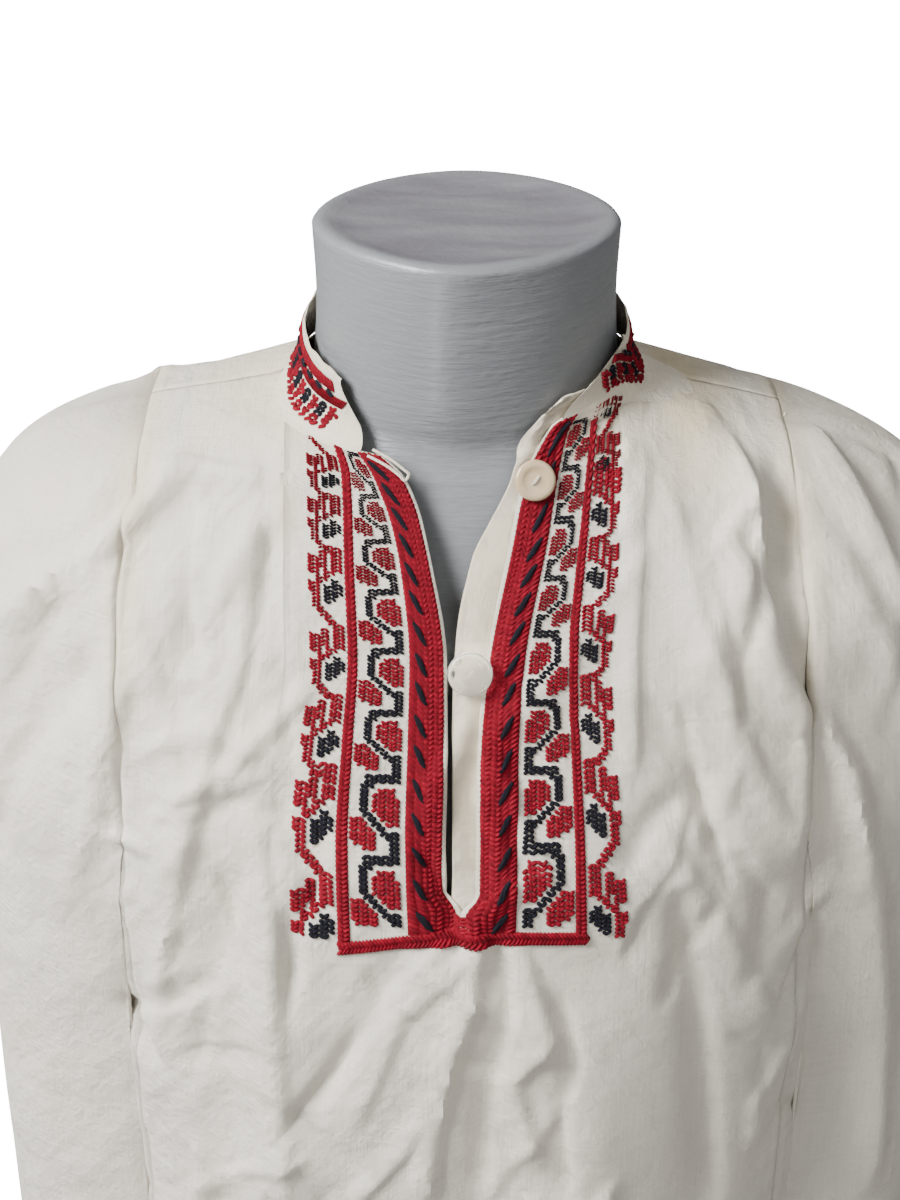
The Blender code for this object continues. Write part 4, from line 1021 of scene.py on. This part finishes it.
def collarBand():
    # A closed profile of heights and offsets carried round the neckline: outside, rolled top, inside.
    profile = np.array([
        [-0.0012, 0.0009], [0.0008, 0.0010], [0.0022, 0.0010], [0.0036, 0.0010], [0.0050, 0.0010],
        [0.0064, 0.0010], [0.0080, 0.0010], [0.0100, 0.0010], [0.012, 0.0010], [0.016, 0.0010],
        [0.020, 0.0010], [0.0225, 0.0011], [0.0238, 0.0010], [0.0245, 0.0005], [0.0247, 0.0],
        [0.0245, -0.0005], [0.0238, -0.0009], [0.0225, -0.0009], [0.018, -0.0009], [0.012, -0.0009],
        [0.008, -0.0009], [0.005, -0.0009], [0.002, -0.0009], [-0.0012, -0.0009],
    ])  # fmt: skip
    # The lower edge reaches further down where the neckline is pushed up the neck.
    turn = np.linspace(collar["endTurn"], np.pi - collar["endTurn"], collar["turns"])
    lap = 0.0050 * ramp(turn, -0.95, 0.25) * (1 - ramp(turn, 0.05, 0.3))
    base = collarGrid(profile[:, :1] - lap * (profile[:, :1] < 0), slanted=True)
    normals = gridNormals(base)
    arc = np.linspace(0, 1, collar["turns"])
    wavy = 0.0006 * np.sin(arc * 60 + 1) + 0.0005 * np.sin(arc * 137)
    offset = profile[:, 1:] + 0 * arc
    grid = base + normals * offset[..., None]
    grid[..., 2] += wavy * ramp(profile[:, :1], 0.014, 0.01)
    count, turns = grid.shape[:2]
    faces = tubeFaces(np.arange(count * turns).reshape(count, turns).T)
    uv = np.stack(np.meshgrid(arc * 0.42, profile[:, 0]), axis=-1).reshape(-1, 2)
    mesh = meshOf("collar_cloth", grid.reshape(-1, 3), faces, uv, {"wear": np.full(count * turns, 0.4)})
    faceOutwards(mesh)
    obj = addObject("collar_cloth", mesh, cottonCloth)
    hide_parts("collar_band")
    return obj


collarCloth = collarBand()

# Stitching
print("stitching")
threadRed = threadFinish("thread_red", (0.29, 0.0002, 0.015), (0.085, 0.0001, 0.004))
threadNavy = threadFinish("thread_navy", (0.006, 0.006, 0.013), (0.0015, 0.0015, 0.004))
threadCream = threadFinish("thread_cream", (0.78, 0.72, 0.60), (0.60, 0.54, 0.42))


class StitchGround:
    # The cloth that stitches lie on: a grid read at cloth distance p and grid row.
    def __init__(self, points, p):
        self.points, self.p = points, np.asarray(p)
        self.normals = gridNormals(points)

    def read(self, spots):
        # Point and normal: the weighted mean of the four grid points round each spot.
        column = np.interp(spots[..., 0], self.p, np.arange(len(self.p)))
        row = np.clip(spots[..., 1], 0, len(self.points) - 1.001)
        column = np.clip(column, 0, len(self.p) - 1.001)
        r, c = row.astype(int), column.astype(int)
        a, b = (row - r)[..., None], (column - c)[..., None]
        found = []
        for grid in (self.points, self.normals):
            upper, lower = ((1 - b) * grid[k, c] + b * grid[k, c + 1] for k in (r, r + 1))
            found.append((1 - a) * upper + a * lower)
        return found

    def rowOf(self, p, z):
        # Grid row at which the column at p reaches the level z.
        column = int(round(float(np.interp(p, self.p, np.arange(len(self.p))))))
        return np.interp(-np.asarray(z, float), -self.points[:, column, 2], np.arange(len(self.points)))


# A leg is three rings of four corners and, last, its two tips.
ringEdges = [(0, 1), (1, 2), (2, 3), (3, 0)]
legSides = np.array([(k + a, k + b, k + 4 + b, k + 4 + a) for k in (0, 4) for a, b in ringEdges])
legTips = np.array([(12, b, a) for a, b in ringEdges] + [(8 + a, 8 + b, 13) for a, b in ringEdges])


class Stitches:
    # Gathers pillow-shaped legs of thread and flat grounds, then makes one mesh of them.
    stations = np.array([0.0, 0.16, 0.5, 0.84, 1.0])
    swell = np.array([0.82, 1.0, 0.82])[:, None]
    # How far a leg's edges stand out as a share of its height, and how deep legs and grounds sink in
    edgeShare, sink, groundSink = 0.35, 0.0002, 0.0003

    def __init__(self, name):
        self.name, self.points, self.faces, self.uv, self.shade, self.count = name, [], [], [], [], 0

    def keep(self, points, faceArrays, uv, shade):
        for faces in faceArrays:
            self.faces += (faces + self.count).tolist()
        self.points.append(points)
        self.uv.append(uv)
        self.shade.append(shade)
        self.count += len(points)

    def legs(self, ground, start, end, width, height, lift=0.0):
        # Each leg runs from start to end on the cloth, its section a diamond that swells in the middle.
        if not len(start):
            return
        spots = start[:, None] + (end - start)[:, None] * self.stations[None, :, None]
        centre, normal = ground.read(spots)
        # Where the cloth is narrower than it was laid out, so is the thread.
        beside = ground.read(spots + [0.0005, 0])[0]
        stretch = np.clip(np.linalg.norm(beside - centre, axis=-1).mean(axis=1) / 0.0005, 0.42, 1.25)
        along = np.gradient(centre, axis=1)
        along /= np.linalg.norm(along, axis=-1, keepdims=True) + 1e-12
        across = np.cross(normal, along)[:, 1:4]
        centre = centre + normal * (shirt["wall"] / 2 + lift)
        sizes = (np.broadcast_to(size, len(start)) * np.sqrt(stretch) for size in (width, height))
        wide, high = (size[:, None, None] * self.swell for size in sizes)
        wide, up, middle = across * wide / 2, normal[:, 1:4], centre[:, 1:4]
        edge = up * high * self.edgeShare
        corners = [middle + wide + edge, middle + up * high, middle - wide + edge, middle - up * self.sink]
        rings = np.stack(corners, axis=2).reshape(len(start), 12, 3)
        tips = centre[:, [0, 4]] - normal[:, [0, 4]] * self.sink
        points = np.concatenate([rings, tips], axis=1)
        length = np.linalg.norm(centre[:, 4] - centre[:, 0], axis=1)[:, None]
        u = length * [*np.repeat(self.stations[1:4], 4), 0, 1]
        v = np.tile([0.0, 0.25, 0.5, 0.75] * 3 + [0.25, 0.25], (len(start), 1))
        first = np.arange(len(start))[:, None, None] * 14
        faceArrays = [(first + faces).reshape(-1, faces.shape[1]) for faces in (legSides, legTips)]
        shade = np.repeat(dice.uniform(0.2, 1.0, len(start)), 14)
        self.keep(points.reshape(-1, 3), faceArrays, np.stack([u, v], axis=-1).reshape(-1, 2), shade)

    def groundStrip(self, ground, pRange, rowRange, height, columns=5):
        # A thin closed strip under dense stitches: a top and a bottom grid joined all round.
        rowCount = int((rowRange[1] - rowRange[0]) / 1.5) + 2
        p, row = np.linspace(*pRange, columns), np.linspace(*rowRange, rowCount)
        spots = np.stack(np.meshgrid(p, row), axis=-1)
        centre, normal = ground.read(spots)
        crown = np.ones(columns)
        crown[[0, -1]] = 0.3
        top = centre + normal * (shirt["wall"] / 2 + height * crown[:, None])
        bottom = centre + normal * (shirt["wall"] / 2 - self.groundSink)
        size = rowCount * columns
        faces = gridFaces(rowCount, columns)
        index = np.arange(size).reshape(rowCount, columns)
        border = np.concatenate([index[0, :-1], index[:-1, -1], index[-1, :0:-1], index[:0:-1, 0]])
        nextOne = np.roll(border, -1)
        sidesOf = np.stack([border, border + size, nextOne + size, nextOne], axis=-1)
        faces = np.concatenate([faces, faces[:, ::-1] + size, sidesOf])
        points = np.concatenate([top.reshape(-1, 3), bottom.reshape(-1, 3)])
        uv = np.tile(spots.reshape(-1, 2) * [1, 0.002], (2, 1))
        # Its shade is held at 0.35, darker than the legs' mean: painted shade in the gaps between the legs.
        self.keep(points, [faces], uv, np.full(2 * size, 0.35))

    def finish(self, material, slot, *nodes):
        points, uv, shade = (np.concatenate(part) for part in (self.points, self.uv, self.shade))
        mesh = meshOf(self.name, points, self.faces, uv, {"shade": shade})
        faceOutwards(mesh)
        obj = addObject(self.name, mesh, material, 75)
        if nodes:
            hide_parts(*nodes)


# One repeat of each motif: rows downwards, K navy, R red. The meander's first column is next to the frame
# line and its last next to the plait; the scroll's first column is the outermost.
meanderChart = [
    "...KKKKKKKK.", "...KKKKKKKK.", "..KKK.......", "..KK..RRRR..", "..KK.RRRRR..", "..KK.RRRRRR.",
    "..KK.RRRRRR.", "..KK.RRRRRR.", "...KK.RRRRR.", "RRR.KK.RRRR.", "RRRR.KK.RRR.", "RRRRR.KK....",
    "RRRRRR.KKKK.", "RRRRRR..KKK.", ".RRRRR...KK.", "...RRR...KK.", ".........KK.",
]  # fmt: skip
scrollChart = [
    ".....RRRR", "......RRR", "...RR.RRR", "...RR.RRR", "RRRRR.RRR", "RRRRR.RRR", "RRRRR.RRR", "RRR.RRR..",
    "RRR.RR...", "..RRR.KK.", "..RR..KKK", "RRR.KKKKK", "RRR.KKKKK", "RRR.KKKK.", ".RR.KKK..", ".RR.KK...",
    ".RR......", ".RRR.....", "..RRR....", "...RRR...", "....RRR..",
]  # fmt: skip
motifs = {
    "meander": {
        "chart": meanderChart, "outer": 0.0420, "inner": 0.0196, "readAt": 0.0305, "anchorRow": 0,
        "footZ": 0.607,
        "levels": {right: [0.783, 0.767, 0.749, 0.7266, 0.7022, 0.6755, 0.641, 0.603],
                   left: [0.7935, 0.775, 0.754, 0.7335, 0.7065, 0.679, 0.6465, 0.605]},
    },
    "scroll": {
        "chart": scrollChart, "outer": 0.0675, "inner": 0.0492, "readAt": 0.0580, "anchorRow": 12,
        "footZ": 0.5975,
        "levels": {right: [0.787, 0.770, 0.748, 0.7185, 0.688, 0.652, 0.604],
                   left: [0.793, 0.775, 0.753, 0.726, 0.6945, 0.656, 0.610]},
    },
}  # fmt: skip
motifThread = {"share": 0.92, "least": 0.0010, "most": 0.0021, "height": 0.0014}
grounds = {side: StitchGround(frontGrid[side], frontColumns) for side in (right, left)}
# Under the slit one ground runs from side to side; there p is negative on the wearer's right.
footGround = StitchGround(
    np.concatenate([frontGrid[right][closed, ::-1], frontGrid[left][closed, 1:]], axis=1),
    np.concatenate([-frontColumns[::-1], frontColumns[1:]]),
)
footPath = np.array([[-0.0477, 0.5945], [-0.0200, 0.6000], [0.0, 0.6022], [0.0200, 0.6022], [0.0477, 0.6003]])


def stitchCells(stitches, ground, cells, pitch, lift=0.0):
    # One slanted leg in each cell; two columns make a rib whose legs run down to its middle and cross there.
    p, row, parity, step = cells[:, 0], cells[:, 1], cells[:, 2], cells[:, 3]
    jitter = dice.normal(0, 0.05, len(cells))
    outerP = p + pitch * np.where(parity > 0, -0.02, 1.02)
    middleP = p + pitch * np.where(parity > 0, 1.20, -0.20)
    start = np.stack([outerP, row + step * (jitter - 0.05)], axis=-1)
    end = np.stack([middleP, row + step * (0.95 + jitter)], axis=-1)
    here, below = (ground.read(np.stack([p, row + shift], axis=-1)[:, None])[0][:, 0] for shift in (0, step))
    apart = np.linalg.norm(below - here, axis=-1)
    thickness = np.clip(motifThread["share"] * apart, motifThread["least"], motifThread["most"])
    stitches.legs(ground, start, end, thickness, motifThread["height"], lift)


def motifStitches(side):
    ground = grounds[side]
    red, navy = Stitches(f"{sideName[side]}_motifs_red"), Stitches(f"{sideName[side]}_motifs_navy")
    for motif in motifs.values():
        chart = np.array([list(line) for line in motif["chart"]])
        count = len(chart)
        anchors = ground.rowOf(motif["readAt"], motif["levels"][side])
        first = 2 * anchors[0] - anchors[1]
        anchors = np.concatenate([[first], anchors, [2 * anchors[-1] - anchors[-2]]])
        pitch = (motif["outer"] - motif["inner"]) / chart.shape[1]
        lowRow = ground.rowOf(motif["readAt"], motif["footZ"])
        for letter, stitches in (("R", red), ("K", navy)):
            rowsAt, columnsAt = np.nonzero(chart == letter)
            cells = []
            for k in range(len(anchors) - 1):
                step = (anchors[k + 1] - anchors[k]) / count
                row = anchors[k] + (rowsAt - motif["anchorRow"]) * step
                p = motif["outer"] - (columnsAt + 1) * pitch
                cells.append(np.stack([p, row, columnsAt % 2, np.full(len(row), step)], axis=-1))
            cells = np.unique(np.round(np.concatenate(cells), 7), axis=0)
            cells = cells[(cells[:, 1] > 0.5) & (cells[:, 1] + cells[:, 3] < lowRow)]
            stitchCells(stitches, ground, cells, pitch)
    red.finish(threadRed, "red_thread")
    navy.finish(threadNavy, None)


# Cloth distances from the slit's edge to the lines of the plait and of the frame; pitches are in grid rows.
plait = {
    "inner": 0.0018, "rib": 0.0065, "ribEnd": 0.0112, "dashLow": 0.0108, "dashTop": 0.0150,
    "outer": bandKnots[1], "frameIn": bandKnots[2], "frameOut": 0.0477, "frameRead": 0.0452, "footZ": 0.6035,
    "pitch": 1.00, "drop": 0.95, "thread": 0.00185, "height": 0.0014, "past": 0.0003,
}  # fmt: skip
plaitDash = {
    "first": 2.0, "shortStep": 4.9, "addedStep": 1.9, "length": 4.5, "apart": 0.0009, "height": 0.0013,
    "lift": 0.0007,
}  # fmt: skip


def runLegs(stitches, ground, fromP, toP, rowRange, drop, pitch=plait["pitch"], width=plait["thread"],
            height=plait["height"]):  # fmt: skip
    # A column of parallel legs, each dropping by so many rows from one cloth distance to the other.
    row = np.arange(rowRange[0], rowRange[1] - drop, pitch)
    row = row + dice.normal(0, 0.04, len(row))
    ends = ((fromP, 0), (toP, drop))
    start, end = (np.stack([np.full_like(row, p), row + down], axis=-1) for p, down in ends)
    stitches.legs(ground, start, end, width, height)


def chevrons(stitches, ground, low, high, rowRange, drop, outerLap):
    # Two columns of legs that meet on the middle line, like plain knitting.
    middle = (low + high) / 2
    runLegs(stitches, ground, low - outerLap[0], middle + plait["past"], rowRange, drop)
    runLegs(stitches, ground, high + outerLap[1], middle - plait["past"], rowRange, drop)


def plaits(side):
    ground, name, s, dash = grounds[side], sideName[side], plait, plaitDash
    lowRow = ground.rowOf(0.010, s["footZ"])
    band = Stitches(f"{name}_plait")
    band.groundStrip(ground, (s["inner"], s["outer"]), (0.6, lowRow), 0.0006, 9)
    along = (0.3, lowRow)
    for low, high in ((s["inner"], s["rib"]), (s["rib"], s["ribEnd"])):
        chevrons(band, ground, low, high, along, s["drop"], (0.0002, 0.0001))
    runLegs(band, ground, s["dashTop"] + 0.0002, s["ribEnd"] - 0.0002, along, 2.0, height=0.0011)
    runLegs(band, ground, s["outer"] + 0.0003, s["dashTop"] - 0.0004, along, 1.5)
    # Dashes of three legs side by side, closer together near the neck
    dashes = Stitches(f"{name}_plait_dashes")
    row, dashRows = dash["first"], []
    while row < lowRow - 5:
        dashRows.append(row)
        row += dash["shortStep"] + dash["addedStep"] * min(1.0, row / lowRow * 1.3)
    dashRows = np.array(dashRows) + dice.normal(0, 0.2, len(dashRows))
    for shift, width in ((-dash["apart"], 0.0019), (0.0, 0.0023), (dash["apart"], 0.0019)):
        start, end = (
            np.stack([np.full_like(dashRows, s[line] + shift), dashRows + down - shift * 500], axis=-1)
            for line, down in (("dashTop", 0.2), ("dashLow", dash["length"]))
        )
        dashes.legs(ground, start, end, width, dash["height"], dash["lift"])
    line = Stitches(f"{name}_frame_plait")
    lineRows = (0.5, ground.rowOf(s["frameRead"], np.interp(side * s["frameRead"], *footPath.T) - 0.0010))
    line.groundStrip(ground, (s["frameIn"], s["frameOut"]), lineRows, 0.0005)
    chevrons(line, ground, s["frameIn"], s["frameOut"], lineRows, 1.0, (0.0003, 0.0003))
    band.finish(threadRed, "red_thread", f"{name}_plait_band")
    dashes.finish(threadNavy, None)
    line.finish(threadRed, "red_thread", f"{name}_frame_line")


def footPlait():
    # A rope of sideways chevrons from frame line to frame line, and a column of them up to the slit's tip.
    foot = Stitches("foot_plait")
    p = np.arange(-0.0470, 0.0478, 0.0015)
    middleZ = np.interp(p, *footPath.T)
    half = 0.0035 + 0.0010 * (1 - fade(np.abs(p) / 0.022))
    row = (shirt["slitFootZ"] - middleZ) / rows["lowStep"] - np.argmax(closed) + rows["top"]
    for upper in (-1, 1):
        start = np.stack([p - 0.0012, row + upper * half / rows["lowStep"]], axis=-1)
        end = np.stack([p + 0.0018, row - 0.35 * upper], axis=-1)
        foot.legs(footGround, start, end, 0.0019, 0.0017)
    tip = footGround.rowOf(0, np.array([shirt["slitTipZ"] + 0.0005, 0.6050]))
    for outwards in (-1, 1):
        runLegs(foot, footGround, outwards * 0.0026, -outwards * 0.0003, tip, 0.9, 0.7, 0.0016, 0.0016)
    foot.finish(threadRed, "red_thread", "frame_foot")


for side in (right, left):
    motifStitches(side)
for side in (right, left):
    plaits(side)
footPlait()

# The collar's stitching: two plaited rows with navy dashes, then a row of navy and red blocks
collarChart = ["KK.RR.", "KK.RRR", "KK.RR.", "RR.RR.", "RRR.R."]
collarStitch = {
    "rows": 30, "top": 0.0218, "dashes": 0.0172, "low": 0.0130, "blocks": 0.0124, "cell": 0.0020,
    "ends": 0.006, "pitch": 0.00115, "dashPitch": 0.0085, "lift": 0.0006,
}  # fmt: skip


def collarStitches():
    s = collarStitch
    fine = collarGrid(np.linspace(collar["height"], 0.0, 80))
    down = lengthsAlong(fine)
    grid = readColumns(np.linspace(0, 1, s["rows"] + 1)[:, None] * down[-1], down, fine)
    across = lengthsAlong(grid[s["rows"] // 2])
    ground = StitchGround(grid, across)
    total = across[-1]

    def rowAt(height):
        # Heights are counted on the cloth, from 0 at the seam to the collar's full height.
        return (1 - height / collar["height"]) * s["rows"]

    red, navy = Stitches("collar_red"), Stitches("collar_navy")
    along = np.arange(s["ends"], total - s["ends"], s["pitch"])

    def kept(p, height):
        # Stitches end short of the slanted front ends.
        shift = fade(height / collar["height"]) * 0.070
        first, last = (s["ends"] + collar["slant"][side] * shift for side in (left, right))
        return (p > first) & (p < total - last)

    for high, low in ((s["top"], s["dashes"]), (s["low"], s["dashes"])):
        start = np.stack([along, np.full_like(along, rowAt(high))], axis=-1)
        end = np.stack([along + 0.0030, np.full_like(along, rowAt(low + (high - low) * 0.08))], axis=-1)
        inside = kept(along, high)
        red.legs(ground, start[inside], end[inside], 0.00125, 0.0013, s["lift"])
    dash = np.arange(s["ends"] + 0.003, total - s["ends"] - 0.006, s["dashPitch"])
    start = np.stack([dash, np.full_like(dash, rowAt(s["dashes"] + 0.0008))], axis=-1)
    end = np.stack([dash + 0.0050, np.full_like(dash, rowAt(s["dashes"] - 0.0008))], axis=-1)
    inside = kept(dash, s["dashes"])
    navy.legs(ground, start[inside], end[inside], 0.0024, 0.0013, s["lift"] + 0.0008)
    chart = np.array([list(line) for line in collarChart])
    step = rowAt(0) - rowAt(s["cell"])
    for letter, stitches in (("R", red), ("K", navy)):
        rowsAt, columnsAt = np.nonzero(chart == letter)
        period = chart.shape[1] * s["cell"]
        starts = np.arange(s["ends"], total - s["ends"] - period, period)
        p = (starts[:, None] + columnsAt * s["cell"]).ravel()
        row = (rowAt(s["blocks"]) + rowsAt * step + 0 * starts[:, None]).ravel()
        parity = (columnsAt % 2 + 0 * starts[:, None]).ravel()
        cells = np.stack([p, row, parity, np.full_like(p, step)], axis=-1)
        cells = cells[kept(cells[:, 0], 0.010)]
        stitchCells(stitches, ground, cells, s["cell"], s["lift"])
    red.finish(threadRed, "red_thread")
    navy.finish(threadNavy, None)


collarStitches()

# Buttons and loop
print("buttons and loop")
buttonSizes = {
    "collar_button": {"x": 0.0280, "z": 0.7890, "radius": 0.0087, "half": 0.0012, "rim": 0.0005},
    "slit_button": {"x": 0.0014, "z": 0.7170, "radius": 0.0095, "half": 0.0012, "rim": 0.0006},
}
pearl = Finish("pearl_plastic", (0.60, 0.50, 0.34), 0.22, Coat_Weight=0.5, Coat_Roughness=0.1)
pearlCloud = pearl.noise(pearl.objectPlace(), 160.0, 3.0)
pearl.colour(pearl.mix(pearlCloud, (0.38, 0.27, 0.14), (0.54, 0.42, 0.27)))
clearPlastic = Finish("clear_plastic", (0.93, 0.92, 0.89), 0.08, Transmission_Weight=0.92, IOR=1.45)


def frontFrame(x, z):
    # A point of the front, and the directions across it, up it and out of it.
    step = 0.002
    at = np.array([x, float(bodyY(x, z, toFront)), z])
    across = np.array([x + step, float(bodyY(x + step, z, toFront)), z]) - at
    up = np.array([x, float(bodyY(x, z + step, toFront)), z + step]) - at
    out = np.cross(across, up)
    across, out = across / np.linalg.norm(across), out / np.linalg.norm(out)
    return at, across, np.cross(out, across), out


def lathe(profile, turns):
    # A profile of radius and height turned round the upright axis, flat over its first and last ring.
    turn = np.linspace(0, 2 * np.pi, turns, endpoint=False)
    radius, height = (np.array(column)[:, None] for column in zip(*profile))
    points = np.stack([radius * np.cos(turn), radius * np.sin(turn), height + 0 * turn], axis=-1)
    return points.reshape(-1, 3), tubeFaces(np.arange(len(profile) * turns).reshape(len(profile), turns))


# How far the backs of the buttons stand out from the front's smooth surface
buttonSeat = 0.0017


def button(name, finish):
    s = buttonSizes[name]
    half, radius, rimTop = s["half"], s["radius"], s["half"] + s["rim"]
    profile = [
        (radius * 0.3, half), (radius * 0.52, half), (radius * 0.60, half + 0.0003), (radius * 0.68, rimTop),
        (radius * 0.80, rimTop + 0.0001), (radius * 0.90, rimTop - 0.0001), (radius * 0.97, half),
        (radius, 0.2 * half), (radius * 0.98, -0.3 * half), (radius * 0.9, -0.8 * half),
        (radius * 0.75, -half),
    ]  # fmt: skip
    points, faces = lathe(profile, 64)
    at, across, up, out = frontFrame(s["x"], s["z"])
    at = at + out * (buttonSeat + half)
    placed = at + points[:, :1] * across + points[:, 1:2] * up + points[:, 2:] * out
    mesh = meshOf(name + "_disc", placed, faces)
    faceOutwards(mesh)
    obj = addObject(name + "_disc", mesh, finish.material, 60)
    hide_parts(name)
    return at + out * half, across, up, out


collarPlace = button("collar_button", pearl)
slitPlace = button("slit_button", clearPlastic)


def tube(path, radius, sides=8):
    # A round section carried along a path; each ring stands across the path's own direction.
    path = np.asarray(path)
    along = np.gradient(path, axis=0)
    along /= np.linalg.norm(along, axis=1, keepdims=True)
    reference = np.array([0.0, -0.6, 0.8])
    across = np.cross(along, reference)
    across /= np.linalg.norm(across, axis=1, keepdims=True)
    up = np.cross(across, along)
    turn = np.linspace(0, 2 * np.pi, sides, endpoint=False)
    radius = np.broadcast_to(radius, len(path))[:, None, None]
    sideways, upwards = across[:, None] * np.cos(turn)[:, None], up[:, None] * np.sin(turn)[:, None]
    rings = path[:, None] + radius * (sideways + upwards)
    return rings.reshape(-1, 3), tubeFaces(np.arange(len(path) * sides).reshape(len(path), sides))


def threadPiece(name, paths, radius, material):
    points, faces, count = [], [], 0
    for path in paths:
        ringPoints, ringFaces = tube(path, radius)
        faces += [[k + count for k in face] for face in ringFaces]
        points.append(ringPoints)
        count += len(ringPoints)
    points = np.concatenate(points)
    mesh = meshOf(name, points, faces, points[:, [0, 2]], {"shade": np.full(count, 0.7)})
    faceOutwards(mesh)
    return addObject(name, mesh, material, 60)


def buttonThread(name, place, span, strands=3):
    # Strands that arch over the middle of the button from hole to hole.
    top, across, up, out = place
    paths = []
    for k in range(strands):
        shift = (k - (strands - 1) / 2) * 0.0004
        t = np.linspace(-1, 1, 13)
        over = 0.0008 * (1 - t**2) - 0.0006 * (np.abs(t) > 0.95)
        strand = top + np.outer(t * span * 0.8 + shift, across) + np.outer(t * span, up)
        paths.append(strand + np.outer(over, out))
    threadPiece(name, paths, 0.00028, threadCream)


buttonThread("collar_button_thread", collarPlace, 0.0019)
buttonThread("slit_button_thread", slitPlace, 0.0018)


def buttonLoop():
    # Two cords lie side by side across the opening and join at a blunt end.
    t = np.linspace(0, 1, 9)[:, None]
    paths = []
    for start, end in (((-0.0392, 0.8000), (-0.0240, 0.7922)), ((-0.0414, 0.7976), (-0.0256, 0.7896))):
        spots = np.array(start) + (np.array(end) - start) * t + [0.0005, 0.0009] * np.sin(np.pi * t)
        x, z = spots.T
        paths.append(np.stack([x, bodyY(x, z, toFront) - 0.0016, z], axis=-1))
    path = np.concatenate([paths[0], paths[1][::-1]])
    obj = threadPiece("button_loop_tape", [between(path[:, None], 3, 0)[:, 0]], 0.00065, threadCream)
    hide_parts("button_loop")


buttonLoop()
